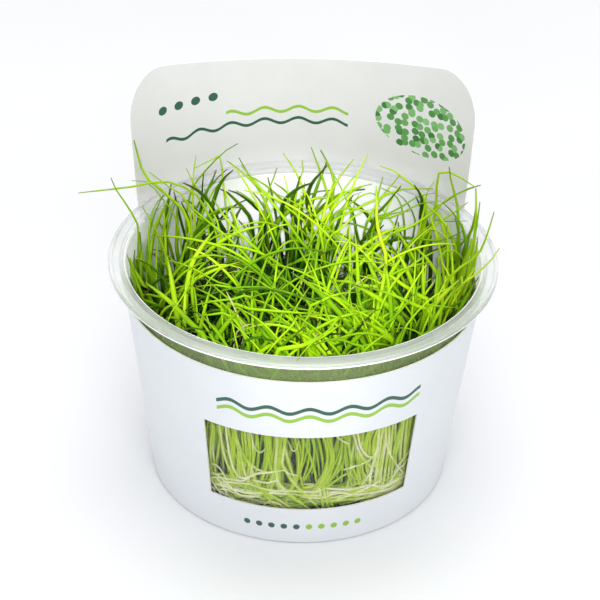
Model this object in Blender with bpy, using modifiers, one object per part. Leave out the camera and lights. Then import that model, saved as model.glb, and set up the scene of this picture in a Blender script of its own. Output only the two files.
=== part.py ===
"""Dwarf hairgrass in a clear tissue-culture cup, with a card sleeve round the cup.

Lengths are in metres. The cup stands on z = 0 and its axis is Z. The sleeve's window faces -Y,
and its tab stands up behind the cup on the +Y side. Angles round the cup are measured in
degrees from -Y towards +X, so the back of the cup is at 180.
"""
import math
import random

import bmesh
import bpy
import numpy as np
from mathutils import Matrix, Vector
from mathutils.bvhtree import BVHTree

MM = 0.001
GAP = 0.3 * MM
SIDES = 40

# Cup, a thin tapered wall with a flat floor and a stepped rim
RIM_RADIUS = 47.5 * MM
CUP_HEIGHT = 59.6 * MM
FOOT_RADIUS = 36.8 * MM
TAPER = 0.119
WALL = 0.7 * MM
FLOOR = 0.9 * MM
HEEL = 2.0 * MM
RIM_DROP = 1.5 * MM

# Sleeve, one piece of card
CARD = 0.4 * MM
SLEEVE_FOOT = 0.3 * MM
SLEEVE_TOP = 52.1 * MM
WINDOW_LOW = 11.3 * MM
WINDOW_HIGH = 35.0 * MM
WINDOW_ANGLES = (-32.8, 42.4)
FLARE_TOP = 57.6 * MM
TAB_RADIUS = 47.85 * MM
TAB_MIDDLE = 182.0
TAB_HALF_WIDTH = 49.8 * MM
TAB_HEIGHT = 87.2 * MM
TAB_EDGE = math.degrees(TAB_HALF_WIDTH / TAB_RADIUS)
TAB_RISE = 3.46 * MM
TAB_CORNER = 11.0 * MM
TAB_LEAN = 0.12
TAB_FLATTEN = 0.30
TAB_KNEE = 72.0 * MM
FLARE_FADE = (60.0, 78.0)
FLARE_BOW = 1.5

# Mat of roots in a little growing gel
MAT_TOP = 14.5 * MM
MAT_LUMP = 0.7 * MM
MAT_SIDES = 20
MAT_SEED = 11

# Runners along the cup's front wall
RUNNER_RADIUS = 0.5 * MM
RUNNER_REACH = 36.5 * MM
RUNNER_SWAY = 0.5 * MM
RUNNER_WAVES = 5.0
RUNNER_POINTS = 9
RUNNER_BED = 1.6 * MM
RUNNERS = ((-44.0, -9.0), (-4.0, 21.0), (26.0, 55.0))

# Tufts of leaves
TUFTS = 43
TUFT_SPREAD = 33.0 * MM
TUFT_TURN = 137.508
CROWN_RADIUS = 2.0 * MM
CROWN_SQUASH = 0.8
CROWN_SPIN = 0.7
LEAVES_PER_TUFT = 5
LEAF_TOTAL = 212
LEAF_RADIUS = 0.85 * MM
TIP_RADIUS = 0.16 * MM
LEAF_TAPER = 2.2
LEAF_SPARE = 0.15 * MM
LEAF_LENGTHS = (42.0 * MM, 62.0 * MM)
HIGHEST_LEAF = 77.0 * MM
SPLAY = 0.13
FACE_SPLAY = 0.10
STRAY_SPLAY = 0.12
SPLAY_SPREAD = 0.05
BOWS = (10.0, 110.0)
BOW_POWER = 2.2
ROOM_AT_CROWN = 5.0 * MM
BESIDE_TAB = 4.0
NEAR_TUFTS = 8
TRIES = 120
LEAF_SEED = 5

# Long leaves that stand out of the tuft, each given by three points in millimetres: where it
# leaves the mass, its bend and its tip
STRAYS = (
    ((-26, 16, 64), (-39, 13, 71), (-56, 10, 69.5)),
    ((-40.5, 6, 62), (-43.9, 7, 69), (-47, 8, 75)),
    ((-34.5, 18, 59), (-39, 21, 67), (-42.5, 24, 76.5)),
    ((-29, 24, 60), (-25.5, 26, 68), (-17, 27, 75)),
    ((-20.5, 26, 62), (-21.5, 26, 71.5), (-28, 24, 69.5)),
    ((-4, 26, 57), (-13, 28, 64.5), (-20, 29, 69)),
    ((-0.5, 30, 59), (-3, 31, 66), (-6, 31, 70.5)),
    ((6.5, 30, 56.5), (4, 31, 64), (1, 32, 72)),
    ((7.5, 27, 59), (7, 28.5, 66.5), (3.5, 30, 72.5)),
    ((5, 25, 58.5), (8, 27, 63.5), (12, 30, 70)),
    ((30.5, 24, 62), (25, 26, 67), (18.5, 28, 69.5)),
    ((33, 20, 60), (33.3, 20, 73), (42, 16, 70.5)),
    ((38, 16, 62.5), (36, 18, 70), (35.5, 18, 75)),
    ((10, 22, 58), (20, 22, 65), (32, 20, 67.5)),
    ((40.5, 4, 57), (42, 6, 64.5), (42.5, 6, 72.5)),
    ((40.5, -2, 60), (44.5, 0, 66.5), (46, 2, 72)),
    ((40, -8, 60.5), (44, -7.5, 63.5), (47.2, -6, 66.5)),
    ((-31, -20, 58.5), (-33, -28, 62.5), (-35, -32, 62)),
    ((-2, -32, 60.5), (-4, -38, 62.5), (-8, -43, 61.8)),
    ((7, -33, 59.5), (3, -39, 62.5), (-1, -45, 61.6)),
)


def clear_scene():
    """Remove every object that the file holds."""
    for item in list(bpy.data.objects):
        bpy.data.objects.remove(item, do_unlink=True)


def new_collection(name):
    """Make a collection in the scene."""
    group = bpy.data.collections.new(name)
    bpy.context.scene.collection.children.link(group)
    return group


def make_material(name, colour, roughness, alpha=1.0, transmission=0.0):
    """Make a plain Principled material."""
    material = bpy.data.materials.new(name)
    material.use_nodes = True
    shader = material.node_tree.nodes["Principled BSDF"]
    shader.inputs["Base Color"].default_value = (*colour, 1.0)
    shader.inputs["Roughness"].default_value = roughness
    shader.inputs["Alpha"].default_value = alpha
    shader.inputs["Transmission Weight"].default_value = transmission
    material.diffuse_color = (*colour, alpha)
    return material


def add_object(name, data, material, group):
    """Link an object with one material to a collection."""
    item = bpy.data.objects.new(name, data)
    item.data.materials.append(material)
    group.objects.link(item)
    return item


def around(angle, radius, height):
    """Return the point at an angle round the cup, in degrees from -Y towards +X."""
    turn = math.radians(angle)
    return Vector((radius * math.sin(turn), -radius * math.cos(turn), height))


def turned(name, profile, sides, material, group):
    """Turn a profile of (radius, height) points about Z, with a Screw modifier."""
    mesh = bpy.data.meshes.new(name)
    points = [(radius, 0.0, height) for radius, height in profile]
    edges = [(i, i + 1) for i in range(len(points) - 1)]
    mesh.from_pydata(points, edges, [])
    item = add_object(name, mesh, material, group)
    item.rotation_euler.z = -math.pi / 2
    screw = item.modifiers.new("Turn", "SCREW")
    screw.angle = 2 * math.pi
    screw.steps = sides
    screw.render_steps = sides
    screw.use_merge_vertices = True
    screw.merge_threshold = 0.00001
    return item


def cup_outside(height):
    """Return the radius of the cup's outer wall at a height."""
    return FOOT_RADIUS + TAPER * height


def cup_inside(height):
    """Return the radius of the cup's inner wall at a height."""
    return cup_outside(height) - WALL


def cup_profile():
    """Return the section of the cup, from its floor over the rim and down to its underside."""
    step = 0.35 * MM
    ridge = CUP_HEIGHT - step
    under = CUP_HEIGHT - RIM_DROP
    groove = (44.9 * MM, 46.3 * MM)
    return [
        (0.0, FLOOR),
        (cup_inside(FLOOR) - HEEL, FLOOR),
        (cup_inside(FLOOR) - 0.3 * HEEL, FLOOR + 0.3 * HEEL),
        (cup_inside(FLOOR + HEEL), FLOOR + HEEL),
        (cup_inside(ridge - 2 * step), ridge - 2 * step),
        (cup_inside(ridge) + step, ridge),
        (groove[0] - step, ridge),
        (groove[0], ridge - step),
        (groove[1], ridge - step),
        (groove[1] + step, CUP_HEIGHT),
        (RIM_RADIUS - step, CUP_HEIGHT),
        (RIM_RADIUS, CUP_HEIGHT - step),
        (RIM_RADIUS, under + step),
        (RIM_RADIUS - step, under),
        (cup_outside(under) + 2 * step, under),
        (cup_outside(under - 2 * step), under - 2 * step),
        (cup_outside(HEEL), HEEL),
        (cup_outside(0.0) - 0.3 * HEEL, 0.3 * HEEL),
        (cup_outside(0.0) - HEEL, 0.0),
        (0.0, 0.0),
    ]


def tab_outline(arc):
    """Return the height of the tab's top edge at a distance along the card from its middle."""
    arc = abs(arc)
    straight = TAB_HALF_WIDTH - TAB_CORNER
    crest = TAB_HEIGHT + TAB_RISE * (min(arc, straight) / straight) ** 2
    if arc <= straight:
        return crest
    inset = min(arc - straight, TAB_CORNER)
    return crest - TAB_CORNER + math.sqrt(TAB_CORNER ** 2 - inset ** 2)


def smooth_step(low, high, value):
    """Rise smoothly from 0 at low to 1 at high."""
    share = min(max((value - low) / (high - low), 0.0), 1.0)
    return share * share * (3.0 - 2.0 * share)


def card_point(angle, height):
    """Return a point on the inner face of the bent card."""
    off_middle = (angle - TAB_MIDDLE + 180.0) % 360.0 - 180.0
    if height <= FLARE_TOP:
        snug = cup_outside(height) + GAP
        reach = TAB_RADIUS - cup_outside(FLARE_TOP) - GAP
        rise = (max(height - WINDOW_HIGH, 0.0) / (FLARE_TOP - WINDOW_HIGH)) ** FLARE_BOW
        fade = 1.0 - smooth_step(*FLARE_FADE, abs(off_middle))
        return around(angle, snug + reach * rise * fade, height)
    arc = math.radians(off_middle) * TAB_RADIUS
    bend = TAB_RADIUS + TAB_FLATTEN * (height - FLARE_TOP)
    back = TAB_RADIUS + TAB_LEAN * (height - FLARE_TOP)
    point = around(TAB_MIDDLE + math.degrees(arc / bend), bend, height)
    return point + around(TAB_MIDDLE, back - bend, 0.0)


def card_columns():
    """Return the angles at which the card is creased into facets, and the tab's two edges."""
    tab_edges = (TAB_MIDDLE - TAB_EDGE, TAB_MIDDLE + TAB_EDGE)
    angles = [360.0 * i / SIDES for i in range(SIDES)]
    angles += [angle % 360.0 for angle in WINDOW_ANGLES]
    angles += tab_edges
    for corner_step in (22.5, 45.0, 67.5):
        inset = TAB_CORNER * (1.0 - math.sin(math.radians(corner_step)))
        turn = math.degrees((TAB_HALF_WIDTH - inset) / TAB_RADIUS)
        angles += [TAB_MIDDLE - turn, TAB_MIDDLE + turn]
    return sorted(angles), tab_edges


def make_sleeve(material, group):
    """Bend the card round the cup, with its window in front and its tab behind."""
    angles, tab_edges = card_columns()
    wrap_rows = [SLEEVE_FOOT, WINDOW_LOW, WINDOW_HIGH, SLEEVE_TOP]
    mesh = bmesh.new()
    columns = []
    for angle in angles:
        rows = list(wrap_rows)
        if tab_edges[0] <= angle <= tab_edges[1]:
            arc = math.radians(angle - TAB_MIDDLE) * TAB_RADIUS
            rows += [FLARE_TOP, TAB_KNEE, tab_outline(arc)]
        columns.append([mesh.verts.new(card_point(angle, height)) for height in rows])
    window_row = wrap_rows.index(WINDOW_LOW)
    for i, angle in enumerate(angles):
        left, right = columns[i], columns[(i + 1) % len(angles)]
        in_window = angle < WINDOW_ANGLES[1] - 0.01 or angle >= WINDOW_ANGLES[0] % 360.0 - 0.01
        for row in range(min(len(left), len(right)) - 1):
            if not (in_window and row == window_row):
                mesh.faces.new((left[row], right[row], right[row + 1], left[row + 1]))
    sheet = bpy.data.meshes.new("sleeve")
    mesh.to_mesh(sheet)
    mesh.free()
    sleeve = add_object("sleeve", sheet, material, group)
    thicken = sleeve.modifiers.new("Card thickness", "SOLIDIFY")
    thicken.thickness = CARD
    thicken.offset = 1.0
    thicken.use_even_offset = True
    return sleeve


def evaluated_mesh(item):
    """Return a plain mesh of an object with its modifiers and its place applied."""
    graph = bpy.context.evaluated_depsgraph_get()
    mesh = bpy.data.meshes.new_from_object(item.evaluated_get(graph))
    mesh.transform(item.matrix_world)
    return mesh


def make_root_mat(material, group):
    """Turn the mat of roots that fills the foot of the cup, and make its top lumpy."""
    low = FLOOR + GAP
    shoulder = FLOOR + HEEL + GAP
    edge = cup_inside(MAT_TOP - MAT_LUMP) - GAP
    profile = [
        (0.0, MAT_TOP),
        (0.30 * edge, MAT_TOP),
        (0.55 * edge, MAT_TOP),
        (0.80 * edge, MAT_TOP),
        (edge, MAT_TOP - MAT_LUMP),
        (cup_inside(shoulder) - GAP, shoulder),
        (cup_inside(low) - HEEL, low),
        (0.0, low),
    ]
    blank = turned("root_mat_blank", profile, MAT_SIDES, material, group)
    bpy.context.view_layer.update()
    mesh = evaluated_mesh(blank)
    bpy.data.objects.remove(blank, do_unlink=True)
    rng = random.Random(MAT_SEED)
    for vertex in mesh.vertices:
        on_top = vertex.co.z > MAT_TOP - 0.5 * MAT_LUMP
        if on_top:
            vertex.co.z += rng.uniform(-MAT_LUMP, MAT_LUMP)
    return add_object("root_mat", mesh, material, group)


def surface_height(tree, place, reach):
    """Return the highest point of the mat under a round patch."""
    heights = []
    for i in range(9):
        turn = math.radians(45.0 * i)
        out = 0.0 if i == 8 else reach
        top = Vector((place.x + out * math.cos(turn), place.y + out * math.sin(turn), CUP_HEIGHT))
        hit = tree.ray_cast(top, Vector((0.0, 0.0, -1.0)))[0]
        if hit is not None:
            heights.append(hit.z)
    return max(heights)


def make_runner(name, start, end, tree, material, group):
    """Lay a runner on the mat, along the inside of the cup's front wall."""
    points = []
    for i in range(RUNNER_POINTS):
        share = i / (RUNNER_POINTS - 1)
        sway = abs(math.sin(RUNNER_WAVES * share + start)) * RUNNER_SWAY
        place = around(start + (end - start) * share, RUNNER_REACH - sway, 0.0)
        place.z = surface_height(tree, place, RUNNER_BED) + GAP + 1.1 * RUNNER_RADIUS
        points.append(place)
    curve = bpy.data.curves.new(name, "CURVE")
    curve.dimensions = "3D"
    curve.bevel_depth = RUNNER_RADIUS
    curve.bevel_resolution = 0
    curve.use_fill_caps = True
    spline = curve.splines.new("POLY")
    spline.points.add(RUNNER_POINTS - 1)
    for point, place in zip(spline.points, points):
        point.co = (*place, 1.0)
    add_object(name, curve, material, group)
    return points


class Thicket:
    """The leaves and runners placed so far, as straight stretches with a radius."""

    def __init__(self):
        self.starts = np.empty((0, 3))
        self.ends = np.empty((0, 3))
        self.radii = np.empty(0)
        self.owners = np.empty(0, dtype=int)

    def add(self, path, radii, owner):
        """Add a path whose stretches take the thicker radius of their two ends."""
        points = np.array([tuple(point) for point in path])
        thick = np.maximum(radii[:-1], radii[1:])
        self.starts = np.vstack((self.starts, points[:-1]))
        self.ends = np.vstack((self.ends, points[1:]))
        self.radii = np.concatenate((self.radii, thick))
        self.owners = np.concatenate((self.owners, np.full(len(thick), owner)))

    def clearance(self, points, chosen):
        """Return the least gap between points and the chosen stretches."""
        if not len(points) or not chosen.any():
            return math.inf
        starts, along = self.starts[chosen], self.ends[chosen] - self.starts[chosen]
        offset = points[:, None, :] - starts[None, :, :]
        share = (offset * along).sum(axis=2) / (along ** 2).sum(axis=1)
        nearest = offset - np.clip(share, 0.0, 1.0)[:, :, None] * along
        return (np.sqrt((nearest ** 2).sum(axis=2)) - self.radii[chosen]).min()


def sampled(path, radii):
    """Return closely spaced points along a path, and the radius at each."""
    points, thick = [], []
    for a, b, radius_a, radius_b in zip(path, path[1:], radii, radii[1:]):
        steps = max(int((b - a).length / (0.8 * MM)), 1)
        for i in range(steps):
            share = i / steps
            points.append(tuple(a.lerp(b, share)))
            thick.append(radius_a + (radius_b - radius_a) * share)
    points.append(tuple(path[-1]))
    thick.append(radii[-1])
    return np.array(points), np.array(thick)


def clear_of_holder(points, thick):
    """Say whether a leaf keeps its gap to the mat, the cup and the tab."""
    radius = np.hypot(points[:, 0], points[:, 1])
    height = points[:, 2]
    facet = math.cos(math.pi / SIDES)
    in_cup = height < CUP_HEIGHT + GAP + thick
    wall = facet * (FOOT_RADIUS - WALL + TAPER * height) - GAP - thick
    if (in_cup & (radius > wall)).any():
        return False
    if (height < MAT_TOP + MAT_LUMP).any() or (height > HIGHEST_LEAF).any():
        return False
    near_card = (height > SLEEVE_TOP) & (points[:, 1] > 0.0) & (radius > cup_inside(CUP_HEIGHT))
    for point, reach, width in zip(points[near_card], radius[near_card], thick[near_card]):
        angle = math.degrees(math.atan2(point[0], -point[1]))
        off_middle = abs((angle - TAB_MIDDLE + 180.0) % 360.0 - 180.0)
        card = facet * card_point(angle, max(point[2], FLARE_TOP)).xy.length
        if off_middle < TAB_EDGE + BESIDE_TAB and reach > card - GAP - width:
            return False
    return True


def fits(path, radii, owner, thicket):
    """Say whether a leaf clears its holder, the other tufts and, away from its crown, its own."""
    points, thick = sampled(path, radii)
    if not clear_of_holder(points, thick):
        return False
    needed = thick.max() + LEAF_SPARE
    others = thicket.owners != owner
    beside = np.linalg.norm(points - points[0], axis=1) > ROOM_AT_CROWN
    return (thicket.clearance(points, others) > needed
            and thicket.clearance(points[beside], ~others) > needed)


def leaf_radii(count, radius):
    """Return a leaf's radius at each point of its path, slender at the foot and fine at the tip."""
    shares = np.arange(count) / (count - 1)
    return TIP_RADIUS + (radius - TIP_RADIUS) * (1.0 - shares ** LEAF_TAPER)


def arched_path(start, splay, heading, length, bow):
    """Return the points up a leaf that splays as it rises and bows over towards a heading."""
    steps = 20
    kept = (0, 7, 11, 14, 17, 20)
    here = start.copy()
    points = [here.copy()]
    for i in range(steps):
        tilt = bow * ((i + 0.5) / steps) ** BOW_POWER
        bend = Vector((math.cos(heading), math.sin(heading), 0.0)) * math.sin(tilt)
        rise = Vector((splay.x, splay.y, math.cos(tilt))) + bend
        here += rise.normalized() * (length / steps)
        points.append(here.copy())
    return [points[i] for i in kept]


def stray_path(start, stray):
    """Return the points up a long leaf, from its crown to the three points it passes."""
    leave, bend, tip = (Vector(point) * MM for point in stray)
    stem = start.lerp(leave, 0.5)
    stem.x += STRAY_SPLAY * (leave.x - start.x)
    stem.y += STRAY_SPLAY * (leave.y - start.y)
    return [start, stem, leave, leave.lerp(bend, 0.6), bend, tip]


def grow_leaf(mesh, face, path, radii):
    """Draw one face of a crown out along a path into a three-sided leaf."""
    heading = face.normal.copy()
    for i in range(1, len(path)):
        ahead = path[min(i + 1, len(path) - 1)] - path[i - 1]
        turn = heading.rotation_difference(ahead)
        centre = face.calc_center_median()
        face = bmesh.ops.extrude_discrete_faces(mesh, faces=[face])["faces"][0]
        for vertex in face.verts:
            spoke = (turn @ (vertex.co - centre)).normalized()
            vertex.co = path[i] + spoke * radii[i]
        heading = ahead.normalized()


class Tuft:
    """One plantlet: a crown, and the leaves that grow from its upper faces."""

    def __init__(self, index, tree):
        self.index = index
        share = math.sqrt((index + 0.5) / TUFTS)
        place = around(index * TUFT_TURN, TUFT_SPREAD * share, 0.0)
        place.z = surface_height(tree, place, CROWN_RADIUS) + GAP + CROWN_RADIUS * CROWN_SQUASH
        self.place = place
        self.leaves = []
        self.crown = bmesh.new()
        bmesh.ops.create_icosphere(self.crown, subdivisions=1, radius=CROWN_RADIUS)
        bmesh.ops.scale(self.crown, vec=(1.0, 1.0, CROWN_SQUASH), verts=self.crown.verts)
        spin = Matrix.Rotation(CROWN_SPIN * index, 3, "Z")
        bmesh.ops.rotate(self.crown, matrix=spin, verts=self.crown.verts)
        bmesh.ops.translate(self.crown, vec=place, verts=self.crown.verts)
        self.crown.normal_update()
        upper = sorted(self.crown.faces, key=lambda face: -face.calc_center_median().z)
        self.free_faces = upper[:LEAVES_PER_TUFT]

    def face_towards(self, direction):
        """Return the free face that looks most in a direction."""
        return max(self.free_faces, key=lambda face: face.normal.dot(direction))

    def take(self, face, path, radii):
        """Keep a leaf for a face, to be grown once all are placed."""
        self.free_faces.remove(face)
        self.leaves.append((face, path, radii))

    def finish(self, material, group):
        """Grow the leaves and make the tuft's object."""
        for face, path, radii in self.leaves:
            grow_leaf(self.crown, face, path, radii)
        name = f"tuft_{self.index + 1:02d}"
        mesh = bpy.data.meshes.new(name)
        bmesh.ops.recalc_face_normals(self.crown, faces=self.crown.faces)
        self.crown.to_mesh(mesh)
        self.crown.free()
        return add_object(name, mesh, material, group)


def plant_strays(tufts, thicket, rng):
    """Give each long leaf to the nearest tuft that has room for it."""
    for stray in STRAYS:
        foot = Vector((stray[0][0], stray[0][1], 0.0)) * MM
        near = sorted(tufts, key=lambda tuft: (tuft.place.xy - foot.xy * 0.8).length)
        for tuft in near[:NEAR_TUFTS]:
            if not tuft.free_faces:
                continue
            face = tuft.face_towards(foot - tuft.place.xy.to_3d())
            path = stray_path(face.calc_center_median(), stray)
            radii = leaf_radii(len(path), LEAF_RADIUS * rng.uniform(0.6, 0.75))
            if fits(path, radii, tuft.index, thicket):
                tuft.take(face, path, radii)
                thicket.add(path, radii, tuft.index)
                break


def plant_leaves(tufts, thicket, rng):
    """Fill the tufts with bowed leaves that keep clear of each other."""
    grown = sum(len(tuft.leaves) for tuft in tufts)
    for leaf_round in range(LEAVES_PER_TUFT):
        for tuft in tufts:
            if grown >= LEAF_TOTAL or not tuft.free_faces:
                continue
            for attempt in range(TRIES):
                face = rng.choice(tuft.free_faces)
                calm = 1.0 - 0.8 * attempt / TRIES
                splay = tuft.place.xy / TUFT_SPREAD * SPLAY + FACE_SPLAY * face.normal.xy
                splay.x += rng.gauss(0.0, SPLAY_SPREAD)
                splay.y += rng.gauss(0.0, SPLAY_SPREAD)
                heading = rng.uniform(-math.pi, math.pi)
                length = rng.uniform(*LEAF_LENGTHS)
                bow = math.radians(rng.uniform(*BOWS)) * calm
                path = arched_path(face.calc_center_median(), splay, heading, length, bow)
                radii = leaf_radii(len(path), LEAF_RADIUS * rng.uniform(0.75, 1.0))
                if fits(path, radii, tuft.index, thicket):
                    tuft.take(face, path, radii)
                    thicket.add(path, radii, tuft.index)
                    grown += 1
                    break


def make_plants(tree, runner_paths, material, group):
    """Grow all the tufts on the mat."""
    thicket = Thicket()
    for number, path in enumerate(runner_paths):
        thicket.add(path, np.full(len(path), 1.5 * RUNNER_RADIUS), -1 - number)
    tufts = [Tuft(index, tree) for index in range(TUFTS)]
    for tuft in tufts:
        crown_axis = [tuft.place, tuft.place + Vector((0.0, 0.0, 0.1 * MM))]
        thicket.add(crown_axis, np.full(2, CROWN_RADIUS), tuft.index)
    rng = random.Random(LEAF_SEED)
    plant_strays(tufts, thicket, rng)
    plant_leaves(tufts, thicket, rng)
    for tuft in tufts:
        tuft.finish(material, group)


def main():
    """Build the whole object."""
    clear_scene()
    group = new_collection("dwarf_hairgrass_cup")
    clear_plastic = make_material("clear polypropylene", (0.92, 0.95, 0.96), 0.12, 0.35, 0.9)
    card = make_material("coated card", (0.88, 0.90, 0.92), 0.4)
    roots = make_material("roots in gel", (0.46, 0.50, 0.22), 0.5)
    stem = make_material("runner skin", (0.72, 0.74, 0.42), 0.45)
    leaf = make_material("leaf green", (0.25, 0.55, 0.03), 0.4)

    cup = turned("cup", cup_profile(), SIDES, clear_plastic, group)
    cup.data.shade_smooth()
    make_sleeve(card, group)
    mat = make_root_mat(roots, group)
    tree = BVHTree.FromPolygons(
        [vertex.co for vertex in mat.data.vertices],
        [tuple(polygon.vertices) for polygon in mat.data.polygons])
    runner_paths = [
        make_runner(f"runner_{number}", start, end, tree, stem, group)
        for number, (start, end) in enumerate(RUNNERS, 1)]
    make_plants(tree, runner_paths, leaf, group)


main()
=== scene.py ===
"""Looks for dwarf hairgrass grown in a clear tissue-culture cup with a card sleeve.

Lengths are in metres. The cup stands on z = 0 with its axis along Z. The sleeve's window faces -Y and
its tab stands behind the cup on the +Y side. Angles round the cup are in degrees from -Y towards +X.
"""

import math

import bmesh
import bpy
import numpy as np
from mathutils import Matrix, Vector


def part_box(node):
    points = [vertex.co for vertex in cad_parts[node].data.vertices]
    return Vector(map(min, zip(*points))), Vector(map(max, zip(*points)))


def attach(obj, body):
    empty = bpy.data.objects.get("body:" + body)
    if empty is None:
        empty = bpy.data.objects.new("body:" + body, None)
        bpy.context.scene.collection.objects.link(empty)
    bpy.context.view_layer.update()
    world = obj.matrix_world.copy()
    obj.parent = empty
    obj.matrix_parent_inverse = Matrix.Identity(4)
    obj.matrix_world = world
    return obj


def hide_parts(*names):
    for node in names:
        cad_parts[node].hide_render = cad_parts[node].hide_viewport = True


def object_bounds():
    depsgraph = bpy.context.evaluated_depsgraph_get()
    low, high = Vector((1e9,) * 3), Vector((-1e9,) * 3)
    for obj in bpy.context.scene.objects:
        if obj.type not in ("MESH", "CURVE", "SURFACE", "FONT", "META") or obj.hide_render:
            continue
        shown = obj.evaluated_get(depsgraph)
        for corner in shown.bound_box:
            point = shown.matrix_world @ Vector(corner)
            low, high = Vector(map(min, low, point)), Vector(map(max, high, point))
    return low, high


bl_info = {
    "name": "Dwarf hairgrass cup",
    "version": (1, 0, 0),
    "blender": (4, 5, 0),
    "location": "View3D > Sidebar > Hairgrass",
    "description": "Dresses the packed hairgrass cup with fine leaves, roots, clear plastic and card",
    "category": "Object",
}

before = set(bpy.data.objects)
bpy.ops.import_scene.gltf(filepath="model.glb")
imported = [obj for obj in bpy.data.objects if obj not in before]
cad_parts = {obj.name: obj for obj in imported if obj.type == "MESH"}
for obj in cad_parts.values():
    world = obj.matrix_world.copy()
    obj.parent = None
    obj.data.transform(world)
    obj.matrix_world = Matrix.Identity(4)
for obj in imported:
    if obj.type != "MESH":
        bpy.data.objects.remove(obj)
CAD_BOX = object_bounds()

MM = 0.001

# Cup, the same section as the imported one
RIM_RADIUS = 47.5 * MM
CUP_HEIGHT = 59.6 * MM
FOOT_RADIUS = 36.8 * MM
TAPER = 0.119
WALL = 0.7 * MM
RIM_INNER = 43.5 * MM
GROOVE = (44.9 * MM, 46.3 * MM)
RIM_STEP = 0.35 * MM
CORNER_REACH = 0.25 * MM
RIM_DROP = 1.5 * MM
FLOOR = 0.9 * MM
HEEL = 2.0 * MM
GAP = 0.3 * MM

# How the cup's plastic changes round it, in degrees off its back: the inner wall is milky white up to the
# first angle, painted light for the lit card behind it, and clears by the second, and the rim gets clearer in
# steps round its front
WHITE_WALL_ENDS = (70.0, 100.0)
WALL_CLEARNESS = (0.25, 0.4, 0.55, 0.7, 0.82, 0.91)
# Angle off the back past which the rim's ridge and inner edge get painted highlight lines
HIGHLIGHT_START = 76.0
FRONT_RIM_START = 106.0
FRONT_RIM_STEP = 8.0
RIM_CLEARNESS = (0.6, 0.63, 0.66, 0.69, 0.72)

# Sleeve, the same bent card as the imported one
CARD = 0.4 * MM
SLEEVE_FOOT = 0.3 * MM
SLEEVE_TOP = 52.1 * MM
WINDOW_LOW = 11.3 * MM
WINDOW_HIGH = 35.0 * MM
WINDOW_ANGLES = (-32.8, 42.4)
FLARE_TOP = 57.6 * MM
FLARE_FADE = (60.0, 78.0)
FLARE_BOW = 1.5
TAB_RADIUS = 47.85 * MM
TAB_MIDDLE = 182.0
TAB_HALF_WIDTH = 49.8 * MM
TAB_EDGE = math.degrees(TAB_HALF_WIDTH / TAB_RADIUS)
TAB_HEIGHT = 87.2 * MM
TAB_RISE = 3.46 * MM
TAB_CORNER = 11.0 * MM
TAB_LEAN = 0.12
TAB_FLATTEN = 0.30
PRINT_RADIUS = 40.0 * MM

# Rows of the card's mesh between its edges: up the wrap, up the flare, and by share up the tab
WRAP_ROWS = (4 * MM, 8 * MM, 18 * MM, 26 * MM, 39 * MM, 43 * MM, 47 * MM)
FLARE_ROWS = (54 * MM, 56 * MM, FLARE_TOP)
TAB_ROWS = (0.2, 0.4, 0.6, 0.8, 1.0)

# Printed ripples: height, left and right ends, swing, wave and width in millimetres, and the ink
WRAP_RIPPLES = ((43.2, -19, 29, 0.8, 9.0, 1.1, "dark_ink"), (40.9, -19, 29, 0.8, 9.0, 1.1, "light_ink"))
TAB_RIPPLES = ((70.5, -9, 33, 0.7, 7.5, 0.8, "dark_ink"), (73.6, -9, 18, 0.7, 7.5, 0.8, "light_ink"))

# Printed rows of dots: height, left and right ends, pitch and radius in millimetres, and the ink
WRAP_DOTS = ((5.6, -14.4, 1.6, 3.2, 0.85, "dark_ink"), (5.6, 1.6, 17.6, 3.2, 0.85, "light_ink"))
TAB_DOTS = ((79.0, 18.5, 36, 4.2, 1.1, "dark_ink"),)

# Printed oval of specks: its middle along and up the tab, half its width, how much wider than tall it
# is, how many specks a metre holds, and a speck's reach as a share of its cell
OVAL_MIDDLE = (-28.0 * MM, 74.0 * MM)
OVAL_REACH = 11.5 * MM
OVAL_SQUASH = 1.5
SPECKS_PER_METRE = 520.0
SPECK_SHARE = 0.46

# Mat, runners and tufts
MAT_TOP = 14.5 * MM
MAT_LUMP = 0.7 * MM
FELT_RADIUS = 35.0 * MM
FELT_SLACK = 1.0 * MM
FELT_SIDES = 72
MAT_SEED = 3
FINE_ROOTS = 180
CROWN_LEVEL = 14.2 * MM
TRACED_FOOT = 14.0 * MM
MAT_REACH = 36.0 * MM
PLANTED_REACH = 35.5 * MM
ARCHING_REACH = 34.0 * MM
RUNNERS = 3
RUNNER_SEED = 4
TUFTS = 43
TUFT_SPREAD = 33.0 * MM
TUFT_TURN = 137.508

# Leaves that no setting counts: bundles of stems by the front wall, leaves that lie at its foot, and
# dead brown leaves with their tone; and how often a leaf may try to grow
BUNDLES = 44
LYING_LEAVES = 130
DEAD_LEAVES = 11
DEAD_TONE = 1.06
GROWTH_TRIES = 6

# How near leaves come to the wall, the card and the rim, how far out one may lean over the rim, and
# how far through the wall one may grow before it is pressed back
WALL_CLEAR = 0.15 * MM
CARD_CLEAR = 0.4 * MM
RIM_CLEAR = 0.2 * MM
LEAN_REACH = 60.0 * MM
PRESS_LIMIT = 5.0 * MM

# White floor
FLOOR_HALF_WIDTH = 3.0

# Camera, fitted to the circles of the cup and its sleeve: place, and pitch, yaw and roll in degrees
CAMERA_PLACE = (0.0, -427.7 * MM, 322.4 * MM)
CAMERA_TURNS = (32.833, -0.078, 1.476)
CAMERA_LENS = 123.48
SENSOR_WIDTH = 36.0

# Photograph: its side in pixels, and the axes along which a mark in it gives a level
PHOTO_SIDE = 600.0
DEPTH_AXIS = 1
HEIGHT_AXIS = 2

# Marked strands against the front wall: how far inside it their middles are, in millimetres, and the
# steps that find a mark's place on it
STRAND_INSET = 0.4
SIGHT_STEPS = 12

# Large soft lights: place and width across, all aimed at the middle of the cup
SOFT_LIGHTS = (("key", (0.05, -0.75, 0.75), 0.6), ("overhead", (0.0, 0.1, 0.9), 0.7))
LIT_MIDDLE = (0.0, 0.0, 50.0 * MM)

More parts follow.
